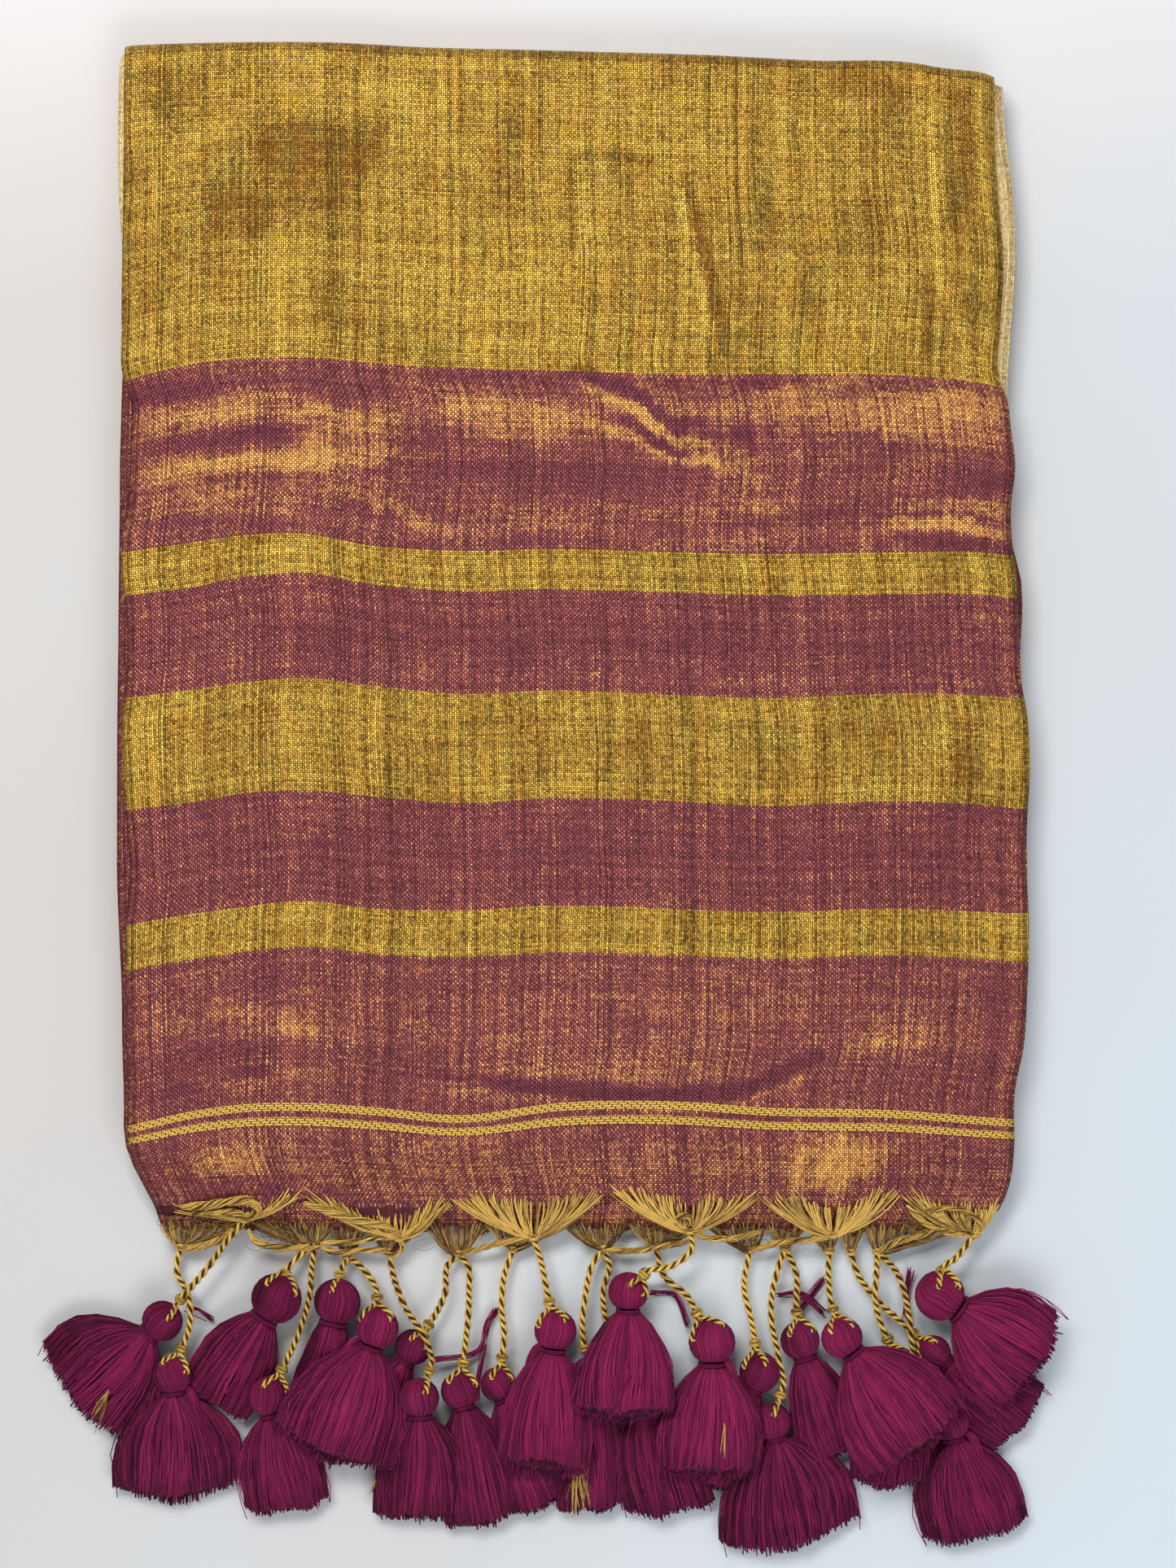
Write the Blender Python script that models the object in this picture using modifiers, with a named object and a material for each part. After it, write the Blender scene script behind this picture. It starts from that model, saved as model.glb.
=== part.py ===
"""Khadi saree folded into a flat packet, with its tasselled pallu end lying on top.

X runs along the packet's width, Y from the fringe to the far fold and Z up from the surface that it
lies on. Sizes are in millimetres in the tables and are turned to metres where a point is made.
"""

import math

import bmesh
import bpy
from mathutils import Vector

MM = 0.001

# Cloth and the packet's layers, each height above the surface
CLOTH_WALL = 1.2
PALE_WALL = 1.0
SEAM_GAP = 0.3
STACK_TOP = 10.2
PALE_TOP = 11.5
UNDER_TOP = 13.0
FACE_TOP = 15.2

# Where each layer ends at the fringe side, and how far the near flap hangs down
STACK_NEAR_END = -119.7
PALE_NEAR_END = -104.0
UNDER_NEAR_END = -138.0
FACE_NEAR_END = -131.5
DROOP_START = -110.0
DROOP_LENGTH = 40.0
DROOP_DEPTH = 8.5
FACE_DROOP_SHARE = 0.8

# The roll of the top layer over the far fold
ROLL_RADIUS = 5.0
ROLL_STEPS = 4
ROLL_FOOT = 1.0
STACK_SETBACK = 2.2
PALE_SETBACK = 3.0
UNDER_SETBACK = 4.6

# Fringe and tassels
FRINGE_WALL = 1.2
FRINGE_STRIP = 2.4
FRINGE_STEP = 5.5
FRINGE_ROWS = 2
FRINGE_INSETS = (0.5, 1.0)
FAN_HALF_WIDTH = 17.0
FAN_HOLLOW = 2.2
KNOT_RADIUS = 1.9
KNOT_SEGMENTS = (6, 4)
CORD_RADIUS = 0.85
CORD_SIDES = 3
CORD_POINTS_PER_SPAN = 2
CORD_SEAT_GAP = 0.15
HEAD_SEGMENTS = (8, 5)

# Bound neck of a tassel: how far past the head it lies, how far it shifts up or down towards the
# skirt, where it starts inside the head, its reach, its radius to the head's, its height to its width
NECK_PAST_HEAD = 0.6
NECK_SHIFT = 0.4
NECK_START = 0.6
NECK_REACH = 1.2
NECK_SHARE = 0.5
NECK_FLATNESS = 0.9
NECK_SIDES = 6

# Locks of a skirt: upper and lower row with their numbers of locks, and one lock's own shape
LOCK_ROWS = ((1.0, 4), (-1.0, 5))
LOCK_SIDES = 3
LOCK_LIFT = 1.75
LOCK_ROOT = 1.5
LOCK_ROOT_RADIUS = 1.0
LOCK_BELLY_SHARE = 0.9
LOCKS_ACROSS = 9.2
SIDE_LOCK_CUT = 0.07
UNEVEN_CUT = 0.03
UNEVEN_STRIDE = 7
UNEVEN_KINDS = 3

# Stations of a lock: share of its length, of the skirt's spread and of the lift
LOCK_STATIONS = ((0.5, 0.72, 0.9), (1.0, 1.0, 1.0))
BELLY_PLACE = 0.5

# Strands that stand nearly upright take their sides from X; rings start a quarter step round
UPRIGHT_LIMIT = 0.05
RING_START = 0.25

# Far fold line: x along the fold, y of the fold
FAR_FOLD = (
    (-139.0, 241.8),
    (-126.0, 242.4),
    (-70.0, 242.8),
    (-40.0, 241.3),
    (5.0, 240.2),
    (44.0, 239.0),
    (83.0, 237.2),
    (118.0, 235.8),
    (121.0, 235.2),
    (138.0, 233.0),
    (143.0, 231.6),
)

# Side edges: y, face left, face right, under layer left, under layer right
SIDE_EDGES = (
    (-139.0, -127.0, 139.5, -127.5, 138.5),
    (-131.0, -129.5, 144.4, -130.0, 143.0),
    (-124.0, -132.7, 146.5, -133.5, 145.0),
    (-114.5, -136.3, 147.4, -137.6, 146.0),
    (-94.0, -137.3, 147.8, -138.8, 146.5),
    (-81.0, -137.6, 150.4, -139.3, 148.5),
    (-62.0, -138.2, 151.7, -139.5, 149.8),
    (-42.0, -138.0, 152.2, -140.4, 150.3),
    (-26.0, -136.8, 151.6, -141.0, 150.0),
    (-11.0, -137.6, 151.5, -141.0, 149.8),
    (9.0, -139.0, 152.5, -141.0, 150.5),
    (26.0, -139.0, 151.7, -140.9, 150.0),
    (36.0, -138.2, 149.9, -140.8, 149.2),
    (48.0, -137.6, 149.3, -140.6, 149.6),
    (61.0, -137.9, 148.6, -140.5, 150.2),
    (71.0, -139.3, 148.2, -140.4, 149.6),
    (81.0, -139.3, 146.8, -140.3, 146.9),
    (94.0, -137.6, 146.5, -140.1, 146.0),
    (106.0, -136.8, 147.8, -140.1, 146.2),
    (117.0, -136.3, 146.5, -139.8, 145.3),
    (128.0, -136.6, 145.0, -139.5, 144.0),
    (134.0, -138.7, 142.8, -139.3, 141.5),
    (151.0, -139.3, 143.0, -138.0, 141.0),
    (173.0, -139.2, 144.0, -137.5, 141.5),
    (190.0, -138.9, 142.4, -137.5, 140.5),
    (212.0, -138.7, 141.3, -137.5, 139.0),
    (230.0, -138.6, 141.3, -137.5, 138.5),
    (242.0, -138.4, 141.0, -137.5, 138.0),
)

# Pale selvedge layer: y, left, right
PALE_EDGES = (
    (-104.0, -135.5, 144.5),
    (-60.0, -136.5, 147.5),
    (0.0, -137.0, 148.5),
    (50.0, -137.0, 148.0),
    (100.0, -137.0, 144.5),
    (134.0, -138.0, 145.6),
    (151.0, -138.5, 146.8),
    (170.0, -139.0, 148.1),
    (194.0, -140.6, 147.3),
    (216.0, -140.8, 144.6),
    (230.0, -140.6, 143.8),
    (242.0, -139.5, 142.8),
)

# Folded stack under them: y, left, right
STACK_EDGES = (
    (-120.0, -136.6, 144.5),
    (-80.0, -138.0, 147.0),
    (-40.0, -138.6, 148.6),
    (10.0, -138.9, 148.6),
    (60.0, -138.6, 146.8),
    (100.0, -138.4, 145.0),
    (130.0, -138.4, 143.4),
    (160.0, -138.6, 145.4),
    (200.0, -138.8, 145.4),
    (236.0, -138.4, 141.4),
)
STACK_SIDE_POINTS = 17
STACK_END_POINTS = 11
STACK_CORNER = 3.0

# Side profile of the stack, four bundles of layers: inset from its outline, height
STACK_PROFILE = (
    (2.6, 0.0),
    (0.9, 0.5),
    (0.1, 1.4),
    (1.2, 2.6),
    (0.2, 3.9),
    (1.4, 5.2),
    (0.4, 6.4),
    (1.6, 7.7),
    (0.9, 8.8),
    (2.4, 9.8),
    (7.0, STACK_TOP),
)

# Folds of the top layer: x, y, half length, half width, direction in degrees from X, height
FOLDS = (
    (-90.0, 200.0, 28.0, 17.0, 10.0, -0.7),
    (-62.0, 163.0, 60.0, 15.0, -14.0, 0.5),
    (-30.0, 214.0, 40.0, 14.0, 20.0, 0.4),
    (58.5, 200.0, 42.0, 6.0, 90.0, 0.9),
    (45.6, 174.0, 42.0, 7.0, -76.0, 1.0),
    (6.4, 190.0, 22.0, 6.0, 88.0, -0.5),
    (122.7, 195.0, 47.0, 6.5, -80.0, 1.1),
    (137.0, 196.0, 38.0, 5.0, -84.0, 0.7),
    (39.6, 114.5, 40.0, 7.5, -34.0, 1.2),
    (-100.0, 120.0, 45.0, 6.5, 2.0, 0.7),
    (-95.0, 103.0, 55.0, 6.5, -3.0, 0.6),
    (126.0, 85.0, 25.0, 5.5, -4.0, 0.8),
    (85.0, 100.0, 38.0, 9.0, -20.0, 0.5),
    (-25.0, 40.0, 60.0, 12.0, 80.0, 0.4),
    (92.0, 8.0, 50.0, 12.0, 95.0, 0.4),
    (0.0, -18.0, 40.0, 6.0, 88.0, 0.5),
    (118.0, -20.0, 50.0, 9.0, 84.0, 0.5),
    (-108.0, -60.0, 48.0, 12.0, 70.0, 0.4),
    (17.0, -92.0, 70.0, 6.5, 2.0, 1.1),
    (94.0, -118.0, 26.0, 12.0, 62.0, 0.9),
    (-100.0, -120.0, 32.0, 11.0, 20.0, 0.6),
)
FACE_WAVE = 0.3
FACE_WAVE_LENGTH = (61.0, 83.0)
FOLD_FLOOR = -0.6
FACE_COLUMNS = 25
FACE_ROWS = 32
PALE_GRID = (8, 14)
UNDER_GRID = (7, 22)

# Fringe knots, front then back: x, y
FRONT_KNOTS = (
    (-100.2, -136.4),
    (-50.6, -142.6),
    (-7.2, -142.4),
    (43.3, -140.4),
    (89.5, -141.6),
    (135.2, -141.4),
)
BACK_KNOTS = (
    (-121.4, -145.9),
    (-78.0, -145.4),
    (-67.2, -149.0),
    (-54.0, -147.4),
    (-31.5, -148.0),
    (-13.6, -146.6),
    (15.6, -146.4),
    (32.5, -145.8),
    (62.9, -146.9),
    (74.4, -146.2),
    (88.6, -147.2),
    (95.6, -147.6),
    (104.2, -147.4),
)

# Tassels: head x, y, z and radius, skirt direction in degrees from straight down the page (plus is
# towards +X), skirt length from the head's middle, skirt width at its cut end, height of the skirt's
# middle at its belly and at its tips
TASSELS = (
    (-127.0, -169.5, 6.9, 6.3, -47.0, 38.0, 28.0, 5.2, 4.4),
    (-124.0, -187.0, 6.5, 6.0, 5.0, 38.0, 30.0, 4.8, 4.4),
    (-90.0, -162.0, 8.4, 7.8, -33.0, 39.0, 18.0, 5.5, 4.4),
    (-92.4, -193.8, 6.8, 6.4, 8.0, 35.0, 24.0, 5.0, 4.4),
    (-70.5, -163.0, 8.0, 7.2, -11.0, 41.0, 13.0, 5.0, 4.4),
    (-57.5, -171.5, 8.0, 6.6, -20.0, 43.0, 32.0, 12.4, 12.2),
    (-46.0, -178.0, 6.2, 5.6, -31.0, 36.0, 14.0, 4.6, 4.4),
    (-43.8, -193.4, 12.2, 6.2, 3.0, 38.0, 18.0, 6.0, 4.4),
    (-31.0, -192.0, 6.4, 5.8, 13.0, 40.0, 15.0, 4.8, 4.4),
    (-18.5, -190.0, 6.2, 5.5, 22.0, 39.0, 15.0, 4.8, 4.4),
    (0.0, -172.5, 7.2, 6.5, -7.0, 43.0, 26.0, 11.8, 12.2),
    (10.5, -187.0, 6.2, 5.5, 5.0, 41.0, 17.0, 4.8, 4.4),
    (23.5, -160.0, 7.0, 6.2, -1.0, 39.0, 26.0, 13.8, 17.2),
    (28.5, -189.0, 6.2, 5.7, 8.0, 40.0, 17.0, 4.8, 4.4),
    (50.5, -176.0, 7.8, 7.2, 0.0, 41.0, 29.0, 12.2, 12.2),
    (66.0, -186.0, 6.8, 6.3, -27.0, 38.0, 16.0, 4.8, 4.4),
    (70.0, -202.0, 6.4, 5.9, 13.0, 40.0, 30.0, 5.0, 4.4),
    (79.0, -175.8, 6.8, 6.1, 17.0, 38.0, 15.0, 4.8, 4.4),
    (92.3, -174.5, 9.2, 6.4, 37.0, 37.0, 33.0, 16.2, 17.2),
    (122.0, -180.0, 6.2, 5.6, 50.0, 36.0, 20.0, 4.8, 4.4),
    (110.5, -183.0, 5.9, 5.2, 1.0, 38.0, 18.0, 4.8, 4.4),
    (127.5, -202.4, 6.4, 5.8, 12.0, 37.5, 26.0, 5.0, 4.4),
    (124.0, -161.0, 8.4, 7.8, 55.0, 37.0, 32.0, 12.4, 12.2),
)

# Cords: the knot that each tassel hangs from (row of front or back knots), then the points it passes
CORDS = (
    ("front", 0, ((-106.0, -143.5, 9.5), (-113.0, -153.0, 9.0), (-119.5, -160.5, 9.0))),
    ("back", 0, ((-122.6, -153.0, 5.0), (-118.6, -162.0, 6.5), (-118.4, -172.0, 7.0))),
    ("back", 1, ((-83.5, -149.0, 6.0), (-87.0, -153.5, 7.5))),
    ("back", 1, ((-78.8, -151.5, 5.0), (-79.6, -162.0, 7.0), (-84.0, -176.0, 8.0))),
    ("back", 2, ((-69.6, -154.0, 6.5),)),
    ("back", 2, ((-62.0, -153.2, 6.0), (-57.6, -160.5, 7.5))),
    ("back", 4, ((-35.0, -152.0, 5.0), (-35.6, -160.0, 6.0), (-40.5, -170.0, 6.5))),
    ("back", 3, ((-52.0, -156.0, 8.0), (-48.0, -165.0, 12.0), (-41.5, -174.5, 14.6), (-40.0, -183.0, 12.5))),
    ("back", 4, ((-28.4, -152.0, 4.6), (-28.0, -160.0, 5.0), (-29.2, -178.0, 7.0))),
    ("back", 5, ((-16.6, -155.0, 5.0), (-17.4, -165.0, 5.5), (-16.6, -176.0, 6.5))),
    ("front", 2, ((-4.8, -149.5, 8.0), (-3.0, -158.4, 8.0))),
    ("back", 6, ((12.4, -150.6, 5.0), (9.6, -162.0, 6.0), (8.8, -174.0, 6.5))),
    ("front", 3, ((44.0, -145.5, 10.4), (38.0, -151.0, 10.4), (29.0, -153.5, 10.4))),
    ("back", 6, ((17.4, -151.4, 5.0), (15.4, -160.0, 5.0), (17.6, -173.0, 5.0))),
    ("back", 7, ((35.0, -155.0, 5.0), (43.0, -162.0, 7.0))),
    ("back", 8, ((61.0, -158.4, 5.0), (63.4, -170.0, 6.5))),
    ("back", 9, ((71.6, -154.0, 5.0), (69.6, -166.0, 6.5), (72.0, -180.8, 7.0), (73.4, -191.0, 7.0))),
    ("back", 9, ((78.0, -155.0, 5.0), (77.8, -165.0, 6.5))),
    ("back", 10, ((88.4, -156.6, 5.0), (89.4, -165.0, 7.0))),
    ("back", 11, ((98.0, -155.0, 4.4), (103.5, -162.5, 4.2), (114.0, -172.0, 6.0))),
    ("back", 12, ((103.6, -155.0, 7.5), (103.2, -163.0, 8.6), (105.0, -170.0, 7.8))),
    ("back", 12, ((110.0, -153.5, 7.0), (113.8, -166.0, 10.0), (115.3, -179.0, 11.2), (120.0, -190.5, 9.0))),
    ("front", 5, ((129.0, -149.0, 9.0), (124.5, -152.5, 9.5))),
)

# Colours as seen: red, green, blue, roughness, metallic
GOLD_CLOTH = (0.46, 0.31, 0.05, 0.45, 0.6)
WINE_CLOTH = (0.25, 0.06, 0.09, 0.6, 0.2)
PALE_CLOTH = (0.55, 0.45, 0.36, 0.6, 0.2)
GOLD_THREAD = (0.55, 0.36, 0.06, 0.4, 0.6)
WINE_COTTON = (0.17, 0.01, 0.07, 0.8, 0.0)


def between(rows, place, column):
    """Value of one column at a place along a table that is sorted by its first column."""
    if place <= rows[0][0]:
        return rows[0][column]
    for low, high in zip(rows, rows[1:]):
        if place <= high[0]:
            share = (place - low[0]) / (high[0] - low[0])
            return low[column] + share * (high[column] - low[column])
    return rows[-1][column]


def smooth(share):
    """Eased step from 0 to 1."""
    share = min(max(share, 0.0), 1.0)
    return share * share * (3.0 - 2.0 * share)


def droop(y):
    """How far the near flap hangs below the packet's top at a place along Y."""
    share = min(max((DROOP_START - y) / DROOP_LENGTH, 0.0), 1.0)
    return DROOP_DEPTH * (1.0 - math.cos(math.pi * share)) / 2.0


def fold_height(x, y):
    """Sum of the top layer's folds at a point."""
    total = 0.0
    for fold_x, fold_y, half_length, half_width, direction, height in FOLDS:
        turn = math.radians(direction)
        along = (x - fold_x) * math.cos(turn) + (y - fold_y) * math.sin(turn)
        across = (y - fold_y) * math.cos(turn) - (x - fold_x) * math.sin(turn)
        fade = max(0.0, 1.0 - (along / half_length) ** 2) ** 2
        total += height * fade * math.exp(-((across / half_width) ** 2))
    return total


def face_height(x, y):
    """Outer surface of the top layer."""
    wave = FACE_WAVE * math.sin(x / FACE_WAVE_LENGTH[0] * math.tau)
    wave *= math.sin(y / FACE_WAVE_LENGTH[1] * math.tau)
    return FACE_TOP + wave + max(fold_height(x, y), FOLD_FLOOR) - FACE_DROOP_SHARE * droop(y)


def new_material(name, finish):
    """Principled material from a row of colour, roughness and metallic."""
    material = bpy.data.materials.new(name)
    material.use_nodes = True
    shader = material.node_tree.nodes["Principled BSDF"]
    shader.inputs["Base Color"].default_value = (*finish[:3], 1.0)
    shader.inputs["Roughness"].default_value = finish[3]
    shader.inputs["Metallic"].default_value = finish[4]
    material.diffuse_color = (*finish[:3], 1.0)
    return material


def add_object(name, mesh, material, collection):
    """Object that carries a mesh and its own material."""
    mesh.materials.append(material)
    made = bpy.data.objects.new(name, mesh)
    collection.objects.link(made)
    return made


def mesh_from(name, shape):
    """Mesh datablock from a bmesh, with its faces turned outwards."""
    bmesh.ops.recalc_face_normals(shape, faces=shape.faces)
    mesh = bpy.data.meshes.new(name)
    shape.to_mesh(mesh)
    shape.free()
    return mesh


def cloth_sheet(name, columns, rows, place, wall, material, collection):
    """Wall of cloth: a unit grid whose points are put in place, given its thickness below."""
    shape = bmesh.new()
    half = 0.5
    bmesh.ops.create_grid(shape, x_segments=columns, y_segments=rows, size=half)
    for vert in shape.verts:
        vert.co = Vector(place(vert.co.x + half, vert.co.y + half)) * MM
    mesh = bpy.data.meshes.new(name)
    shape.to_mesh(mesh)
    shape.free()
    sheet = add_object(name, mesh, material, collection)
    thickness = sheet.modifiers.new("wall", "SOLIDIFY")
    thickness.thickness = wall * MM
    thickness.offset = -1.0
    return sheet


def flat_sheet_place(edges, left, near_end, top, setback):
    """Placing rule of a layer that lies level and hangs down past the packet's near end."""

    def place(across, along):
        rough_x = edges[-1][left] + across * (edges[-1][left + 1] - edges[-1][left])
        far_end = between(FAR_FOLD, rough_x, 1) - setback
        y = near_end + along * (far_end - near_end)
        x = between(edges, y, left)
        x += across * (between(edges, y, left + 1) - x)
        return (x, y, top - droop(y))

    return place


def face_place(across, along):
    """Placing rule of the top layer: flat part with its folds, then the roll over the far fold."""
    flat_share = 1.0 - (ROLL_STEPS + 1) / FACE_ROWS
    rough_x = SIDE_EDGES[-1][1] + across * (SIDE_EDGES[-1][2] - SIDE_EDGES[-1][1])
    far_end = between(FAR_FOLD, rough_x, 1)
    roll_start = far_end - ROLL_RADIUS
    step = round((along - flat_share) * FACE_ROWS)
    y = FACE_NEAR_END + min(along / flat_share, 1.0) * (roll_start - FACE_NEAR_END)
    x = between(SIDE_EDGES, y, 1)
    x += across * (between(SIDE_EDGES, y, 2) - x)
    height = face_height(x, y)
    if step > ROLL_STEPS:
        return (x, far_end, ROLL_FOOT)
    if step > 0:
        turn = math.pi / 2.0 * step / ROLL_STEPS
        y = roll_start + ROLL_RADIUS * math.sin(turn)
        height -= ROLL_RADIUS * (1.0 - math.cos(turn))
    return (x, y, height)


def stack_outline():
    """Corner-rounded outline of the folded stack, anticlockwise from its near left corner."""
    near = STACK_NEAR_END
    points = []
    for index in range(STACK_END_POINTS):
        share = (index + 0.5) / STACK_END_POINTS
        x = STACK_EDGES[0][1] + STACK_CORNER
        x += share * (STACK_EDGES[0][2] - STACK_EDGES[0][1] - 2.0 * STACK_CORNER)
        points.append((x, near))
    far_right = between(FAR_FOLD, STACK_EDGES[-1][2], 1) - STACK_SETBACK
    far_left = between(FAR_FOLD, STACK_EDGES[-1][1], 1) - STACK_SETBACK
    for index in range(STACK_SIDE_POINTS):
        share = index / (STACK_SIDE_POINTS - 1)
        y = near + STACK_CORNER + share * (far_right - near - 2.0 * STACK_CORNER)
        points.append((between(STACK_EDGES, y, 2), y))
    for index in range(STACK_END_POINTS):
        share = 1.0 - (index + 0.5) / STACK_END_POINTS
        x = STACK_EDGES[-1][1] + STACK_CORNER
        x += share * (STACK_EDGES[-1][2] - STACK_EDGES[-1][1] - 2.0 * STACK_CORNER)
        points.append((x, between(FAR_FOLD, x, 1) - STACK_SETBACK))
    for index in range(STACK_SIDE_POINTS):
        share = 1.0 - index / (STACK_SIDE_POINTS - 1)
        y = near + STACK_CORNER + share * (far_left - near - 2.0 * STACK_CORNER)
        points.append((between(STACK_EDGES, y, 1), y))
    return points


def inset(points, distance):
    """Outline moved inwards by a distance, along the mean of each corner's two edges."""
    moved = []
    for index, point in enumerate(points):
        before = Vector(points[index - 1])
        after = Vector(points[(index + 1) % len(points)])
        along = (after - before).normalized()
        inward = Vector((-along.y, along.x))
        moved.append(tuple(Vector(point) + inward * distance))
    return moved


def folded_stack(material, collection):
    """Hidden folded layers as one solid with a flat underside and four bulging bundles of edges."""
    outline = stack_outline()
    shape = bmesh.new()
    rings = []
    for distance, height in STACK_PROFILE:
        ring = [shape.verts.new(Vector((x, y, height)) * MM) for x, y in inset(outline, distance)]
        rings.append(ring)
    for low, high in zip(rings, rings[1:]):
        for index in range(len(low)):
            following = (index + 1) % len(low)
            shape.faces.new((low[index], low[following], high[following], high[index]))
    shape.faces.new(tuple(reversed(rings[0])))
    shape.faces.new(tuple(rings[-1]))
    return add_object("folded_layers", mesh_from("folded_layers", shape), material, collection)


def strand(shape, path, radii, sides, flatness):
    """Closed strand through the path's points, added to a bmesh, lower than wide by the flatness."""
    rings = []
    for index, point in enumerate(path):
        before = path[max(index - 1, 0)]
        after = path[min(index + 1, len(path) - 1)]
        along = (after - before).normalized()
        sideways = along.cross(Vector((0.0, 0.0, 1.0)))
        if sideways.length < UPRIGHT_LIMIT:
            sideways = Vector((1.0, 0.0, 0.0))
        sideways.normalize()
        upward = sideways.cross(along)
        ring = []
        for side in range(sides):
            turn = math.tau * (side + RING_START) / sides
            offset = sideways * math.cos(turn) * radii[index]
            offset += upward * math.sin(turn) * radii[index] * flatness
            ring.append(shape.verts.new((point + offset) * MM))
        rings.append(ring)
    for low, high in zip(rings, rings[1:]):
        for side in range(sides):
            following = (side + 1) % sides
            shape.faces.new((low[side], low[following], high[following], high[side]))
    shape.faces.new(tuple(reversed(rings[0])))
    shape.faces.new(tuple(rings[-1]))


def rounded_path(points, steps):
    """Points read from a smooth curve that passes through the given points."""
    path = [points[0]]
    for index in range(len(points) - 1):
        before = points[max(index - 1, 0)]
        start = points[index]
        end = points[index + 1]
        after = points[min(index + 2, len(points) - 1)]
        for step in range(1, steps + 1):
            share = step / steps
            square = share * share
            cube = square * share
            point = start * 2.0 + (end - before) * share
            point += (before * 2.0 - start * 5.0 + end * 4.0 - after) * square
            point += (start * 3.0 - before - end * 3.0 + after) * cube
            path.append(point * 0.5)
    return path


def add_lock(shape, neck, forward, sideways, row, lift_sign, width, length, belly_z, tip_z):
    """One lock of a skirt, from inside the neck to its cut end."""
    path = [neck - forward * LOCK_ROOT]
    for share, spread, lift in LOCK_STATIONS:
        point = neck + forward * length * share + sideways * row * width / 2.0 * spread
        middle = neck.z + (belly_z - neck.z) * smooth(share / BELLY_PLACE)
        if share > BELLY_PLACE:
            middle = belly_z + (tip_z - belly_z) * (share - BELLY_PLACE) / (1.0 - BELLY_PLACE)
        point.z = middle + lift_sign * LOCK_LIFT * lift
        path.append(point)
    half_pitch = width / LOCKS_ACROSS
    radii = (LOCK_ROOT_RADIUS, half_pitch * LOCK_BELLY_SHARE, half_pitch)
    strand(shape, path, radii, LOCK_SIDES, min(1.0, LOCK_LIFT / half_pitch))


def tassel(index, material, collection, cutters):
    """Wound head with its cord and the locks of its skirt fused into it."""
    x, y, z, radius, direction, length, width, belly_z, tip_z = TASSELS[index]
    name = f"tassel_{index + 1:02d}"
    turn = math.radians(direction)
    forward = Vector((math.sin(turn), -math.cos(turn), 0.0))
    sideways = Vector((math.cos(turn), math.sin(turn), 0.0))
    centre = Vector((x, y, z))
    head = bmesh.new()
    around, rings = HEAD_SEGMENTS
    bmesh.ops.create_uvsphere(head, u_segments=around, v_segments=rings, radius=radius * MM)
    bmesh.ops.translate(head, verts=head.verts, vec=centre * MM)
    made = add_object(name, mesh_from(name, head), material, collection)

    parts = bmesh.new()
    neck = centre + forward * (radius + NECK_PAST_HEAD)
    neck.z = z - NECK_SHIFT if belly_z < z else z + NECK_SHIFT
    neck_radius = radius * NECK_SHARE
    neck_path = [centre + forward * radius * NECK_START, neck + forward * NECK_REACH]
    strand(parts, neck_path, (neck_radius, neck_radius), NECK_SIDES, NECK_FLATNESS)
    skirt_length = length - radius - NECK_PAST_HEAD
    for lift_sign, count in LOCK_ROWS:
        for place in range(count):
            row = (place - (count - 1) / 2.0) / 2.0
            uneven = (place * UNEVEN_STRIDE + index) % UNEVEN_KINDS - 1
            reach = skirt_length * (1.0 - SIDE_LOCK_CUT * abs(row) + UNEVEN_CUT * uneven)
            add_lock(parts, neck, forward, sideways, row, lift_sign, width, reach, belly_z, tip_z)
    side, knot_row, route = CORDS[index]
    knot = knot_centre(side, knot_row)
    first = Vector(route[0])
    seat = knot + (first - knot).normalized() * (KNOT_RADIUS + SEAM_GAP + CORD_SEAT_GAP)
    points = [seat] + [Vector(point) for point in route] + [centre]
    cord = rounded_path(points, CORD_POINTS_PER_SPAN)
    strand(parts, cord, [CORD_RADIUS] * len(cord), CORD_SIDES, 1.0)
    cutter = add_object(name + "_strands", mesh_from(name + "_strands", parts), material, cutters)
    cutter.hide_render = True
    cutter.display_type = "WIRE"
    union = made.modifiers.new("skirt and cord", "BOOLEAN")
    union.operation = "UNION"
    union.solver = "EXACT"
    union.use_self = True
    union.object = cutter
    return made


def fringe_middle(side, y):
    """Height of the fringe's middle at a place along Y."""
    if side == "front":
        return FACE_TOP - CLOTH_WALL / 2.0 - FACE_DROOP_SHARE * droop(y)
    return UNDER_TOP - CLOTH_WALL / 2.0 - droop(y)


def knot_centre(side, row):
    """Middle of one fringe knot."""
    x, y = (FRONT_KNOTS if side == "front" else BACK_KNOTS)[row]
    return Vector((x, y, fringe_middle(side, y)))


def fringe_stations(marks):
    """Places along the strip: each mark, and even steps between them."""
    stations = [marks[0]]
    for start, end in zip(marks, marks[1:]):
        steps = max(1, round((end - start) / FRINGE_STEP))
        stations += [start + (end - start) * (step + 1) / steps for step in range(steps)]
    return stations


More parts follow.
